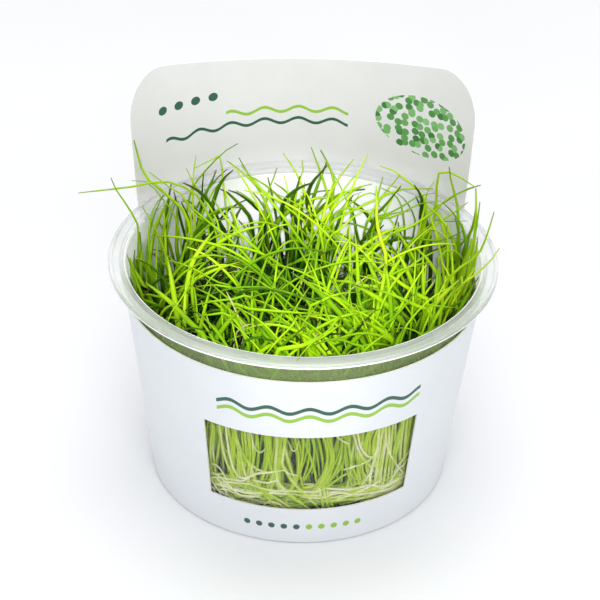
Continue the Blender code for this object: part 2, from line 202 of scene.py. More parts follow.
# Narrow lights: place, goal, spread in degrees, how softly the edge fades, and the lamp's radius
BEAMS = (
    ("accent", (0.0, -0.82, 0.66), (-0.015, 0.050, 0.079), 8.0, 0.7, 0.05),
    ("inner", (0.0, -0.428, 0.323), (0.0, 0.036, 0.030), 8.0, 0.5, 0.01),
    ("front", (0.0, -0.428, 0.323), (0.004, -0.040, 0.047), 6.4, 1.0, 0.01),
)

# Pieces of foliage, each a sixth of the round, named for where it stands
SECTORS = ("front", "front_right", "back_right", "back", "back_left", "front_left")

# Tone that the mass's top leaves reach at most, on the leaves' scale from deep green to pale yellow
TOP_TONE = 0.735

# Long leaves that stand out of the mass, marked in the photograph from where each leaves the mass to
# its tip: column and row in pixels and depth in millimetres; and its radius in millimetres. Most are
# marked as the leaves lie, and ten have marks set to adjust the leaf
LONG_LEAVES = (
    (((203, 205, 17), (193, 192, 16), (165, 181.5, 14), (130, 187, 12), (78.5, 193, 10)), 0.3),
    (((138, 250, 5), (138, 226, 6), (125, 203, 7), (115, 188, 8), (111, 178, 8)), 0.3),
    (((168, 196, 18), (158, 187, 19), (145, 176, 21), (140, 163, 23), (134, 140, 24)), 0.42),
    (((168, 186, 20), (160, 180, 21), (149, 172, 22)), 0.26),
    (((159.5, 195.5, 14), (150, 184.5, 14), (142, 180.5, 14), (132, 180.5, 14)), 0.22),
    (((190, 195, 24), (195, 183, 25), (220, 155, 26), (238, 143.5, 27)), 0.28),
    (((223, 180, 26), (221, 157.5, 26), (216, 157.5, 25.6), (195, 168, 24)), 0.28),
    (((205, 200, 22), (193, 182, 24), (186, 168, 25)), 0.28),
    (((193, 180, 25), (196, 155, 27)), 0.28),
    (((290, 210, 24), (262, 190, 26), (240, 170, 28), (227, 161, 29)), 0.32),
    (((270, 215, 24), (262, 195, 26), (250, 177, 28), (239, 158, 29)), 0.34),
    (((268, 195, 28), (272, 182, 29), (277, 168, 30)), 0.3),
    (((305, 195, 29), (295, 170, 31), (283, 153, 31)), 0.32),
    (((150, 220, 8), (142, 206, 8)), 0.26),
    (((150, 225, 6), (155, 205, 10), (165, 195, 14)), 0.3),
    (((330, 205, 30), (325, 185, 31), (318, 165, 31), (311, 147, 32)), 0.36),
    (((333, 190, 29), (334, 180, 29), (329, 166, 30), (320.5, 150, 30)), 0.4),
    (((335, 185, 28), (343, 172, 29), (354, 159, 30)), 0.32),
    (((300, 178, 31), (303, 170, 31), (302, 160, 31)), 0.28),
    (((415, 188, 25), (405, 179, 26), (392, 170, 27), (380, 166, 28)), 0.36),
    (((380, 200, 24), (390, 187, 25), (400, 175, 26)), 0.32),
    (((375, 215, 25), (378, 195, 26), (383, 177, 27)), 0.32),
    (((424, 210, 22), (427, 192, 23), (434, 182, 24)), 0.34),
    (((345, 215, 20), (375, 200, 21), (390, 193, 22), (405, 189, 22), (433, 189, 20)), 0.32),
    (((428, 240, 18), (435, 215, 19), (437, 185, 20), (439.5, 171, 20), (443.5, 170.5, 19.6),
      (455, 174, 18), (475, 187, 16)), 0.36),
    (((445, 202, 18), (465, 190, 17), (480, 185, 16)), 0.3),
    (((458, 215, 15), (455, 195, 17), (450, 177, 18), (449, 167, 18)), 0.4),
    (((473, 250, 4), (476, 215, 8), (476, 188, 12)), 0.42),
    (((470.5, 250.5, 3), (476, 230, 6), (480, 202, 7)), 0.32),
    (((440, 222, 16), (455, 212, 15), (468, 202, 14)), 0.3),
    (((469, 262.5, -3), (479, 253.5, -1), (487, 235, 0), (494, 212, 2)), 0.34),
    (((474, 275.5, -9), (488.5, 263, -7.5), (499.5, 248, -6)), 0.3),
    (((330, 205, 22), (350, 190, 23), (372, 184, 24)), 0.3),
    (((180, 301, -26), (171, 313, -31), (166.5, 324.5, -33.5)), 0.24),
    (((290, 329, -34), (280, 338, -39), (265, 355.5, -45.4)), 0.3),
    (((330, 329.5, -34), (312, 343, -41), (296.5, 361, -46.9)), 0.3),
)

# Clumps of tall dark leaves: place in millimetres, number of leaves, height in millimetres and tone
TALL_CLUMPS = (
    (-40, -8, 6, 59, 0.66), (-39, 3, 7, 64, 0.66), (-35, 12, 5, 68, 0.6), (-30, 19, 6, 66, 0.48),
    (-23, 25, 5, 64, 0.42), (-14, 25, 6, 59, 0.38), (-7, 17, 14, 56, 0.4), (-2, 31, 5, 63, 0.46),
    (5, 32, 4, 62, 0.52), (14, 29, 4, 56, 0.46), (23, 27, 3, 58, 0.56), (31, 22, 6, 62, 0.46),
    (36, 14, 7, 64, 0.6), (40, 4, 9, 66, 0.64), (39, -8, 8, 61, 0.66), (20, 12, 6, 54, 0.36),
)

# Fans of broad bright leaves: place in millimetres, number of leaves, and the way that they lean, in
# degrees from +X towards +Y
BOLD_FANS = (
    (-24, -24, 5, 60), (-17, -29, 3, 20), (6, -33, 5, 100), (14, -31, 6, 130), (20, -28, 6, 110),
    (25, -23, 5, 160), (11, -24, 5, 60), (2, -27, 4, 30), (30, -14, 4, 170), (17, -18, 4, 90),
)

# Single leaves on top of the mass, marked in the photograph: column and row in pixels and
# height in millimetres; radius in millimetres, and tone
TRACED_LEAVES = (
    (((266, 281, 54), (256, 268, 58), (242, 257, 61), (225, 248, 62), (205, 242, 62), (185, 238, 61),
      (165, 236, 60), (150, 237, 58)), 0.34, 0.6),
    (((236, 293, 54), (215, 281, 57), (200, 272, 59), (182, 264, 60), (163, 259, 59)), 0.26, 0.55),
    (((290, 278, 54), (280, 265, 58), (265, 255, 60), (245, 248, 62), (222, 244, 62), (202, 246, 61)),
      0.38, 0.6),
    (((264, 280, 54), (248, 258, 59), (227, 237, 62), (205, 219, 64), (182, 199, 66)), 0.34, 0.52),
    (((287, 287, 54), (270, 263, 58), (250, 243, 62), (235, 229, 64), (222, 213, 66), (213, 199, 67)),
      0.38, 0.55),
    (((318, 268, 55), (300, 240, 60), (281, 214, 63), (262, 190, 67), (241, 165, 72)), 0.38, 0.55),
    (((186, 290, 53), (203, 276, 57), (220, 268, 60), (240, 262, 61)), 0.5, 0.66),
    (((262, 298, 54), (240, 290, 57), (215, 285, 58), (196, 287, 57)), 0.36, 0.6),
    (((296, 302, 52), (302, 281, 57), (308, 262, 60), (311, 250, 62)), 0.3, 0.81),
    (((163, 245, 48), (165, 225, 54), (167, 208, 60), (169, 196, 64), (171, 184, 66)), 0.55, 0.34),
    (((177, 252, 48), (177, 232, 54), (177, 215, 59), (178, 201, 63)), 0.5, 0.5),
    (((193, 243, 50), (190, 225, 55), (186, 212, 59), (181, 202, 62)), 0.5, 0.12),
    (((227, 240, 48), (219, 222, 54), (212, 208, 59), (203, 195, 63), (192, 187, 65), (183, 183, 65)),
      0.62, 0.16),
    (((212, 232, 52), (211, 214, 57), (214, 199, 62), (220, 184, 66), (226, 176, 69), (233, 170, 70)),
      0.6, 0.22),
    (((252, 226, 50), (244, 210, 56), (235, 200, 60), (227, 192, 63), (220, 189, 64)), 0.55, 0.28),
    (((264, 220, 50), (254, 206, 56), (245, 198, 60), (237, 193, 62), (228, 190, 63)), 0.5, 0.18),
    (((287, 236, 48), (282, 217, 54), (283, 204, 60), (290, 194, 64), (301, 187, 66), (312, 183, 66)),
      0.6, 0.16),
    (((300, 232, 48), (292, 216, 54), (291, 203, 59), (296, 190, 64), (300, 176, 68)), 0.5, 0.26),
    (((320, 228, 48), (310, 213, 54), (307, 200, 59), (311, 185, 65), (319, 175, 69), (327, 166, 71)),
      0.6, 0.2),
    (((360, 248, 50), (367, 236, 54), (373, 224, 58), (377, 212, 61)), 0.55, 0.22),
    (((374, 222, 54), (384, 207, 60), (392, 197, 64), (401, 186, 67)), 0.42, 0.3),
    (((423, 256, 46), (421, 235, 52), (421, 216, 58), (422, 201, 63), (419, 192, 66), (414, 185, 68)),
      0.62, 0.16),
    (((407, 258, 46), (404, 244, 50), (400, 232, 54), (398, 222, 57)), 0.45, 0.3),
    (((470, 268, 50), (472, 246, 56), (474, 225, 62), (476, 204, 68)), 0.5, 0.46),
    (((462, 292, 46), (465, 266, 52), (466, 246, 58), (462, 226, 63), (452, 212, 66), (442, 202, 68)),
      0.42, 0.44),
    (((452, 290, 46), (456, 268, 52), (459, 248, 58), (459, 232, 62), (455, 218, 65)), 0.45, 0.4),
    (((440, 302, 48), (440, 280, 53), (438, 262, 58), (444, 252, 60), (453, 250, 60), (461, 256, 59),
      (466, 266, 57)), 0.32, 0.5),
    (((322, 226, 54), (333, 216, 58), (343, 209, 61), (354, 208, 62), (370, 213, 61), (386, 217, 59)),
      0.28, 0.56),
    (((332, 222, 56), (341, 209, 60), (350, 198, 63), (357, 193, 64), (362, 192, 64)), 0.2, 0.4),
    (((349, 226, 56), (353, 210, 60), (356, 200, 63), (359, 194, 64)), 0.22, 0.45),
    (((372, 224, 56), (386, 219, 59), (402, 213, 61), (416, 205, 63), (430, 202, 64), (441, 201, 64)),
      0.26, 0.5),
    (((376, 222, 57), (390, 213, 60), (403, 206, 62), (413, 199, 64), (424, 195, 65), (435, 193, 65)),
      0.24, 0.44),
    (((366, 224, 57), (380, 218, 59), (395, 213, 60), (410, 211, 60)), 0.26, 0.45),
    (((404, 242, 50), (404, 225, 56), (402, 208, 61), (397, 197, 64), (390, 192, 65), (381, 188, 66)),
      0.28, 0.46),
    (((415, 226, 56), (411, 210, 60), (405, 200, 63), (397, 193, 64)), 0.24, 0.3),
    (((362, 262, 56), (374, 246, 59), (390, 234, 61), (410, 227, 61), (426, 217, 63), (437, 209, 64),
      (446, 200, 66), (461, 192, 67), (481, 185, 68)), 0.34, 0.56),
    (((428, 244, 56), (440, 240, 58), (455, 238, 59), (465, 240, 59)), 0.22, 0.45),
    (((417, 254, 52), (415, 242, 56), (419, 238, 58), (432, 241, 58), (449, 238, 59), (463, 231, 60)),
      0.32, 0.42),
    (((430, 226, 57), (445, 222, 60), (458, 221, 61), (469, 221, 61)), 0.22, 0.44),
    (((326, 246, 56), (343, 227, 60), (358, 214, 62), (373, 209, 63)), 0.28, 0.62),
    (((330, 272, 56), (350, 257, 59), (368, 243, 61), (386, 232, 62), (405, 226, 62)), 0.48, 0.62),
    (((338, 292, 54), (355, 271, 58), (372, 251, 61), (388, 237, 63), (402, 227, 64)), 0.42, 0.66),
    (((385, 294, 56), (362, 286, 58), (345, 281, 59), (328, 282, 58)), 0.55, 0.7),
    (((396, 280, 56), (410, 267, 59), (424, 257, 60), (440, 249, 61)), 0.4, 0.58),
    (((143, 298, 52), (136, 280, 56), (130, 264, 60), (127, 254, 63)), 0.4, 0.5),
    (((141, 300, 46), (141, 275, 52), (141, 250, 57), (140, 232, 61)), 0.5, 0.42),
    (((158, 300, 46), (156, 275, 51), (157, 250, 56), (158, 235, 59), (150, 222, 62)), 0.35, 0.5),
    (((148, 295, 48), (147, 262, 54), (148, 240, 59), (152, 222, 63), (157, 208, 66), (163, 195, 69)),
      0.3, 0.38),
    (((187, 320, 48), (186, 300, 53), (188, 280, 57), (193, 262, 60), (203, 245, 62), (214, 231, 62)),
      0.62, 0.66),
    (((206, 341, 56), (192, 325, 57), (178, 310, 58), (163, 296, 59), (146, 283, 59)), 0.68, 0.62),
    (((196, 320, 50), (193, 302, 54), (192, 285, 57), (195, 268, 59)), 0.5, 0.56),
    (((248, 346, 54), (243, 333, 57), (235, 320, 59), (225, 313, 60), (208, 315, 59), (191, 317, 58)),
      0.42, 0.62),
    (((254, 300, 59), (235, 299, 60), (215, 301, 60), (200, 304, 59), (189, 308, 58)), 0.36, 0.6),
    (((258, 341, 54), (245, 325, 57), (230, 310, 59), (212, 296, 60), (193, 287, 59)), 0.34, 0.58),
    (((250, 323, 55), (235, 305, 58), (218, 290, 60), (205, 278, 61)), 0.34, 0.54),
    (((226, 307, 58), (250, 309, 60), (275, 311, 61), (300, 313, 60), (320, 314, 58)), 0.4, 0.68),
    (((254, 347, 52), (253, 325, 56), (252, 300, 59), (253, 276, 62)), 0.45, 0.64),
    (((286, 353, 54), (274, 338, 57), (262, 324, 59), (248, 311, 60)), 0.85, 0.52),
    (((242, 351, 58), (247, 341, 60), (257, 337, 61), (270, 340, 60), (281, 346, 58)), 0.36, 0.34),
    (((276, 354, 57), (298, 347, 59), (316, 340, 60), (330, 332, 61), (341, 324, 62)), 0.6, 0.72),
    (((366, 354, 56), (355, 345, 58), (342, 340, 60), (328, 340, 60), (312, 346, 59)), 0.4, 0.56),
    (((376, 349, 50), (375, 330, 53), (378, 305, 57), (384, 280, 60), (386, 255, 62), (381, 240, 64),
      (377, 222, 66), (377, 205, 68), (376, 186, 69)), 0.52, 0.7),
    (((385, 346, 50), (383, 322, 54), (385, 300, 57), (388, 278, 60)), 0.4, 0.56),
    (((308, 339, 56), (324, 325, 59), (344, 316, 60), (364, 312, 60), (384, 309, 59)), 0.42, 0.66),
    (((309, 312, 57), (322, 301, 60), (338, 294, 61), (358, 292, 60)), 0.42, 0.68),
    (((372, 346, 52), (361, 325, 56), (350, 307, 58), (338, 290, 60), (326, 272, 62)), 0.4, 0.58),
    (((380, 342, 52), (368, 324, 56), (360, 303, 59), (355, 284, 61), (347, 268, 63)), 0.42, 0.54),
    (((428, 334, 52), (437, 316, 56), (447, 300, 59), (460, 282, 62)), 0.5, 0.52),
    (((423, 326, 50), (424, 305, 54), (423, 285, 58), (423, 262, 61), (424, 250, 62)), 0.5, 0.58),
    (((432, 318, 50), (437, 296, 55), (440, 276, 59), (437, 258, 62)), 0.42, 0.46),
    (((426, 309, 58), (442, 307, 59), (463, 308, 57)), 0.24, 0.52),
    (((381, 332, 56), (392, 320, 58), (404, 306, 60), (416, 292, 61)), 0.4, 0.56),
    (((432, 318, 55), (418, 307, 58), (402, 299, 60), (384, 292, 61), (366, 287, 61)), 0.46, 0.6),
    (((428, 306, 54), (415, 293, 57), (400, 283, 60), (388, 274, 61), (376, 270, 61)), 0.6, 0.64),
    (((459, 310, 54), (467, 297, 57), (475, 285, 60), (479, 277, 62)), 0.5, 0.42),
    (((285, 353, 52), (284, 330, 56), (283, 308, 59)), 0.3, 0.56),
    (((276, 341, 54), (279, 325, 57), (283, 311, 59)), 0.3, 0.78),
    (((302, 338, 55), (292, 327, 58), (277, 321, 60), (262, 323, 60), (254, 328, 59)), 0.36, 0.54),
    (((260, 322, 55), (266, 304, 59), (274, 294, 61), (286, 282, 62)), 0.34, 0.6),
    (((294, 345, 54), (300, 330, 57), (309, 315, 60), (322, 300, 62)), 0.36, 0.58),
)

# Bare hollows in the mass, each by its middle and radius in millimetres
HOLLOWS = (
    (-18, -21, 7.5), (-6, 0, 6.5), (-16, 6, 6.5), (22, 10, 8), (12, 20, 9), (-2, 12, 4),
)

# Single strands against the front wall, marked in the photograph: column and row in pixels;
# radius in millimetres, and tone
WALL_STRANDS = (
    (((214, 424), (211, 440), (211, 458), (214, 466)), 0.36, 0.8),
    (((226, 424), (229, 449), (233.6, 467), (238, 475), (244, 477.5), (250.5, 476), (257, 473),
      (268, 472), (278, 470.5), (284, 470)), 0.34, 0.865),
    (((220, 424), (223, 446), (227, 462), (233, 474), (239, 484)), 0.34, 0.82),
    (((235, 428), (239, 444), (245.5, 457), (252, 464), (258, 469), (266, 471.5)), 0.34, 0.815),
    (((277, 433), (277, 449), (275.5, 462), (277, 475.5), (279, 483), (285.5, 490.5), (293, 497),
      (303, 504), (311, 511)), 0.48, 0.828),
    (((287, 434), (284, 449), (282, 463), (285.5, 469), (290.5, 478), (298, 487), (305.5, 494),
      (314, 503), (321, 511)), 0.46, 0.815),
    (((240.5, 450), (244, 468), (248, 480)), 0.38, 0.815),
    (((246, 458), (252, 470), (255.5, 479), (260.5, 488), (268, 497), (273, 503), (280, 511)), 0.44, 0.8),
    (((259, 486), (266, 491), (272, 495.5), (283, 502), (293, 510)), 0.4, 0.79),
    (((252, 478), (262, 489), (270, 499), (276, 509)), 0.34, 0.77),
    (((205, 475), (210.5, 476), (220.5, 477), (234, 479), (243, 480), (248, 477.5), (254, 474),
      (262, 472)), 0.26, 0.875),
    (((205, 463), (210.5, 463), (215.5, 463.5), (220.5, 468), (225.5, 475.5), (229, 482)), 0.22, 0.875),
    (((205, 467), (210.5, 470.5), (218, 474), (227, 482), (234, 489), (240.5, 494), (252, 495.5),
      (262, 497)), 0.26, 0.87),
    (((206, 472), (212, 479), (218, 488), (223, 496)), 0.2, 0.86),
    (((217, 476), (222, 483), (228, 493), (235, 500)), 0.22, 0.865),
    (((208, 482), (214, 488), (219, 497)), 0.2, 0.86),
    (((252, 479), (259, 480.5), (268, 482), (279, 479)), 0.24, 0.875),
    (((283, 469), (290.5, 473), (298, 475)), 0.22, 0.875),
    (((224, 481), (248, 483), (260.5, 487), (273, 490), (290.5, 490), (302, 491), (315.5, 491),
      (324, 488)), 0.3, 0.865),
    (((325, 487.5), (338, 488.6), (354, 488), (369, 484.5), (380.5, 486), (390.5, 482), (403, 475.5),
      (411, 470)), 0.36, 0.875),
    (((300, 496), (310.5, 497), (323, 497), (330.5, 494), (342, 492), (354, 494), (364, 493), (373, 492),
      (385.5, 489), (404, 478)), 0.28, 0.87),
    (((321, 500), (348, 499), (365.5, 497), (383, 492), (400.5, 482), (410, 476)), 0.36, 0.83),
    (((296, 494), (312, 495), (322, 494)), 0.3, 0.84),
    (((343, 469), (350.5, 467), (359, 464), (367, 460.5), (373, 455), (377, 447)), 0.26, 0.875),
    (((357, 426), (359, 442), (363, 451), (368, 456), (374, 456)), 0.3, 0.865),
    (((379, 424), (377, 449), (373, 462), (370.5, 473), (369, 485)), 0.42, 0.855),
    (((352, 430), (355, 440), (358, 449), (363, 458), (369, 465.5), (373, 469)), 0.34, 0.83),
    (((371, 470), (365.5, 478), (360.5, 485.5)), 0.24, 0.86),
    (((383, 424), (380, 444), (377, 464), (374, 485)), 0.4, 0.815),
    (((386, 424), (384, 448), (381, 468), (379, 485)), 0.4, 0.825),
    (((389, 422), (388, 446), (385, 468), (383, 484)), 0.38, 0.81),
    (((393, 420), (391, 440), (389, 462), (387, 481)), 0.34, 0.8),
    (((385, 440), (388, 450.5), (392, 458), (397, 465.5), (403, 473), (407, 477)), 0.24, 0.87),
    (((412, 453), (403, 463), (397, 469), (392, 475.5), (388, 484)), 0.24, 0.87),
    (((421, 416), (415.5, 438), (408, 450.5), (399, 463), (393, 472)), 0.32, 0.81),
    (((319, 487), (322, 500.5), (324, 511)), 0.42, 0.815),
    (((323, 487), (326, 499), (330, 510)), 0.38, 0.82),
    (((326, 487), (329, 498), (334, 509)), 0.3, 0.8),
    (((251, 430), (254, 444), (258, 450.5), (262, 451.5), (266, 447)), 0.2, 0.84),
    (((288, 440), (292, 449), (296, 449), (299, 440)), 0.18, 0.84),
    (((262, 508), (266, 503), (272, 501), (280, 504), (287, 509)), 0.24, 0.86),
    (((333, 432), (338, 437), (344, 441), (350, 443)), 0.24, 0.855),
)

# Colours, nodes, materials and meshes

def srgb(code):
    """Turn an sRGB hex colour into linear values with an alpha of one."""
    parts = [int(code[i:i + 2], 16) / 255.0 for i in (1, 3, 5)]
    linear = [p / 12.92 if p <= 0.04045 else ((p + 0.055) / 1.055) ** 2.4 for p in parts]
    return (*linear, 1.0)


def fill(tree, node, inputs):
    """Set a node's inputs, or link them from a socket or from another node's first output."""
    for name, value in inputs.items():
        if isinstance(value, bpy.types.Node):
            value = value.outputs[0]
        if isinstance(value, bpy.types.NodeSocket):
            tree.links.new(value, node.inputs[name])
        else:
            node.inputs[name].default_value = value


def add_node(tree, kind, inputs=None, stops=(), **settings):
    """Add a node with its settings and inputs, and with the places and hex colours of its ramp's stops."""
    node = tree.nodes.new(kind if "Node" in kind else "ShaderNode" + kind)
    for name, value in settings.items():
        setattr(node, name, value)
    fill(tree, node, inputs or {})
    if stops:
        marks = node.color_ramp.elements
        while len(marks) < len(stops):
            marks.new(1.0)
        for mark, (place, code) in zip(marks, stops):
            mark.position = place
            mark.color = srgb(code)
    return node


def new_material(name, per_metre, detail=2.0, stops=(), rough=None, values=None):
    """Make a material with a mottle of so many patches to the metre.

    A mottle of 60 to the metre has patches about 17 mm across. The colour follows the stops and the
    roughness the range in rough, both along the mottle. Values are set on the shader. Return the
    material, its node tree, its shader and the mottle's node.
    """
    material = bpy.data.materials.new(name)
    material.use_nodes = True
    tree = material.node_tree
    shader = tree.nodes["Principled BSDF"]
    place = add_node(tree, "TexCoord").outputs["Object"]
    mottle = add_node(tree, "TexNoise", {"Vector": place, "Scale": per_metre, "Detail": detail})
    fill(tree, shader, values or {})
    if stops:
        fill(tree, shader, {"Base Color": add_node(tree, "ValToRGB", {"Fac": mottle}, stops)})
    if rough:
        polish = add_node(tree, "MapRange", {"Value": mottle, "To Min": rough[0], "To Max": rough[1]})
        fill(tree, shader, {"Roughness": polish})
    return material, tree, shader, mottle


def new_piece(name, mesh, nodes=()):
    """Link a finished mesh as a piece that rides on the one body."""
    piece = bpy.data.objects.new(name, mesh)
    bpy.context.scene.collection.objects.link(piece)
    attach(piece, "root")
    if nodes:
        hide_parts(*nodes)


def mesh_from(mesh, name):
    """Turn a mesh under construction into a finished one."""
    data = bpy.data.meshes.new(name)
    mesh.to_mesh(data)
    mesh.free()
    return data


def around(angle, radius, height):
    """Return the point at an angle round the cup, in degrees from -Y towards +X."""
    turn = math.radians(angle)
    return Vector((radius * math.sin(turn), -radius * math.cos(turn), height))


def along_wall(turns, out, height):
    """Return points at turns round the cup, in radians, at distances from its axis and heights."""
    return np.column_stack((out * np.sin(turns), -out * np.cos(turns), height))


def camera_axes():
    """Return the camera's right, top and forward directions."""
    pitch, yaw, roll = (math.radians(turn) for turn in CAMERA_TURNS)
    ahead = Vector((math.sin(yaw) * math.cos(pitch), math.cos(yaw) * math.cos(pitch), -math.sin(pitch)))
    side = Vector((math.cos(yaw), -math.sin(yaw), 0.0))
    up = side.cross(ahead)
    right = math.cos(roll) * side + math.sin(roll) * up
    top = -math.sin(roll) * side + math.cos(roll) * up
    return right, top, ahead


def seen_at(column, row, axis, level):
    """Return the point in millimetres that a mark in the photograph shows, at a level along an axis."""
    right, top, ahead = (np.array(direction) for direction in camera_axes())
    half = 0.5 * PHOTO_SIDE
    ray = (column - half) * right + (half - row) * top + CAMERA_LENS / SENSOR_WIDTH * PHOTO_SIDE * ahead
    start = np.array(CAMERA_PLACE) / MM
    return start + (level - start[axis]) / ray[axis] * ray


def smooth_step(low, high, value):
    """Rise smoothly from 0 at low to 1 at high."""
    share = np.clip((value - low) / (high - low), 0.0, 1.0)
    return share * share * (3.0 - 2.0 * share)


# Cup

def cup_outside(height):
    """Return the radius of the cup's outer wall at a height."""
    return FOOT_RADIUS + TAPER * height


def cup_inside(height):
    """Return the radius of the cup's inner wall at a height."""
    return cup_outside(height) - WALL


def cup_profile():
    """Return the section of the cup, from its floor over the rim and down to its underside."""
    step = RIM_STEP
    ridge = CUP_HEIGHT - step
    under = CUP_HEIGHT - RIM_DROP
    neck = SLEEVE_TOP - 2.0 * MM
    return [
        (0.0, FLOOR),
        (cup_inside(FLOOR) - HEEL, FLOOR),
        (cup_inside(FLOOR) - 0.3 * HEEL, FLOOR + 0.3 * HEEL),
        (cup_inside(FLOOR + HEEL), FLOOR + HEEL),
        (cup_inside(ridge - 2 * step), ridge - 2 * step),
        (cup_inside(ridge) + step, ridge),
        (GROOVE[0] - step, ridge),
        (GROOVE[0], ridge - step),
        (GROOVE[1], ridge - step),
        (GROOVE[1] + step, CUP_HEIGHT),
        (RIM_RADIUS - step, CUP_HEIGHT),
        (RIM_RADIUS, CUP_HEIGHT - step),
        (RIM_RADIUS, CUP_HEIGHT - 0.85 * MM),
        (RIM_RADIUS, under + step),
        (RIM_RADIUS - step, under),
        (cup_outside(under) + 2 * step, under),
        (cup_outside(under - 2 * step), under - 2 * step),
        (cup_outside(neck), neck),
        (cup_outside(HEEL), HEEL),
        (cup_outside(0.0) - 0.3 * HEEL, 0.3 * HEEL),
        (cup_outside(0.0) - HEEL, 0.0),
        (0.0, 0.0),
    ]


def rounded(profile, reach):
    """Round the corners of a section, each with a short curve of four points."""
    points = [Vector(point) for point in profile]
    result = [points[0]]
    for before, corner, after in zip(points, points[1:], points[2:]):
        cut = min(reach, 0.4 * (corner - before).length, 0.4 * (after - corner).length)
        start = corner + (before - corner).normalized() * cut
        end = corner + (after - corner).normalized() * cut
        for share in (0.0, 0.33, 0.67, 1.0):
            result.append(start.lerp(corner, share).lerp(corner.lerp(end, share), share))
    result.append(points[-1])
    return result


def turned_mesh(name, profile, sides):
    """Turn a section that starts and ends on the axis into a closed mesh."""
    mesh = bmesh.new()
    rings = []
    for radius, height in profile:
        if radius < 1e-7:
            rings.append([mesh.verts.new((0.0, 0.0, height))] * sides)
        else:
            rings.append([mesh.verts.new(around(360.0 * i / sides, radius, height)) for i in range(sides)])
    for low, high in zip(rings, rings[1:]):
        for i in range(sides):
            j = (i + 1) % sides
            mesh.faces.new(tuple(dict.fromkeys((low[i], low[j], high[j], high[i]))))
    bmesh.ops.recalc_face_normals(mesh, faces=mesh.faces)
    data = mesh_from(mesh, name)
    data.shade_smooth()
    return data


def clear_polypropylene(settings):
    """Clear polypropylene, injection moulded: see-through, with a soft gloss and a trace of haze."""
    return new_material("clear moulded polypropylene", 60.0, stops=((0.3, "#FBFDFC"), (0.7, "#FFFFFF")),
                        rough=(0.4 * settings.haze, settings.haze),
                        values={"IOR": 1.12, "Transmission Weight": 0.975})[0]


def milky_polypropylene(name, clear, dark="#FAFCFB", light="#FFFFFF", bend=1.49):
    """The same polypropylene where it is thick, and where its milky white is painted light: part of the light
    scatters and looks milky.
    """
    return new_material(name, 45.0, stops=((0.3, dark), (0.7, light)), rough=(0.14, 0.24),
                        values={"IOR": bend, "Transmission Weight": clear})[0]


def cup_materials(settings):
    """Return the cup's plastics, in the order that plastic_at numbers them."""
    return [
        clear_polypropylene(settings),
        # The thick rim looks white and cloudy
        milky_polypropylene("milky polypropylene rim", 0.6, "#F0F2F2", "#FAFBFB", 1.2),
        # The inner back wall is milky white behind the leaves: painted light for the lit white card seen
        # through the clear wall
        milky_polypropylene("misted polypropylene wall", 0.1),
        # The neck over the sleeve is tinted faint green: painted light for the green light from the leaves
        # behind it
        milky_polypropylene("faintly misted polypropylene neck", 0.8, "#CCE69A", "#D8F0AC", 1.12),
        # The rim's ridge and inner edge are made white: painted highlight lines round it
        milky_polypropylene("polypropylene ridge with painted highlight", 0.1),
        # The painted white light on the wall thins out towards the front
        *(milky_polypropylene("polypropylene wall in fading painted light", clear) for clear in WALL_CLEARNESS),
        # The front of the rim lets more of the neck show through; its faint grey-green is painted shade and
        # painted green light from the leaves
        *(milky_polypropylene("clearer polypropylene rim", clear, "#EAF0EA", "#F4F8F4", 1.2)
          for clear in RIM_CLEARNESS),
    ]


def plastic_at(place):
    """Return the number of the plastic that the cup has at a place."""
    clear, rim, white_wall, neck, ridge, fading_white = range(6)
    front_rim = fading_white + len(WALL_CLEARNESS)
    out = math.hypot(place.x, place.y)
    off_back = abs(math.degrees(math.atan2(place.x, place.y)))
    if place.z > CUP_HEIGHT - RIM_DROP - 0.5 * MM:
        on_ridge = CUP_HEIGHT - 1.3 * MM < place.z < CUP_HEIGHT - 0.8 * MM and out > RIM_RADIUS - 0.3 * MM
        on_edge = place.z > CUP_HEIGHT - 0.9 * MM and out < RIM_INNER + 0.4 * MM
        # The ridge and inner edge round the front get the white plastic: painted highlight lines
        if off_back > HIGHLIGHT_START and (on_ridge or on_edge):
            return ridge
        if off_back < FRONT_RIM_START:
            return rim
        step = int((off_back - FRONT_RIM_START) / FRONT_RIM_STEP)
        return front_rim + min(step, len(RIM_CLEARNESS) - 1)
    inner = out < cup_outside(place.z) - 0.5 * WALL
    white_until, clears = WHITE_WALL_ENDS
    # The inner wall gets painted white light at the back, for the lit card behind it, fading out towards the
    # front
    if inner and place.z > 2.0 * MM and off_back < clears:
        share = (off_back - white_until) / (clears - white_until)
        return white_wall if off_back < white_until else fading_white + int(share * len(WALL_CLEARNESS))
    # The neck's outer faces at the front get the green tint: painted light from the leaves
    if not inner and place.z > SLEEVE_TOP - 2.0 * MM and off_back > clears:
        return neck
    return clear


# Sleeve

def tab_outline(arc):
    """Return the height of the tab's top edge at a distance along the card from its middle."""
    arc = abs(arc)
    straight = TAB_HALF_WIDTH - TAB_CORNER
    crest = TAB_HEIGHT + TAB_RISE * (min(arc, straight) / straight) ** 2
    if arc <= straight:
        return crest
    inset = min(arc - straight, TAB_CORNER)
    return crest - TAB_CORNER + math.sqrt(TAB_CORNER ** 2 - inset ** 2)


def off_tab(angle):
    """Return how many degrees an angle, or each of several, lies from the tab's middle."""
    return (angle - TAB_MIDDLE + 180.0) % 360.0 - 180.0


def card_point(angle, height):
    """Return a point on the inner face of the bent card."""
    if height <= FLARE_TOP:
        snug = cup_outside(height) + GAP
        reach = TAB_RADIUS - cup_outside(FLARE_TOP) - GAP
        rise = (max(height - WINDOW_HIGH, 0.0) / (FLARE_TOP - WINDOW_HIGH)) ** FLARE_BOW
        fade = 1.0 - smooth_step(*FLARE_FADE, abs(off_tab(angle)))
        return around(angle, snug + reach * rise * fade, height)
    arc = math.radians(off_tab(angle)) * TAB_RADIUS
    bend = TAB_RADIUS + TAB_FLATTEN * (height - FLARE_TOP)
    back = TAB_RADIUS + TAB_LEAN * (height - FLARE_TOP)
    point = around(TAB_MIDDLE + math.degrees(arc / bend), bend, height)
    return point + around(TAB_MIDDLE, back - bend, 0.0)


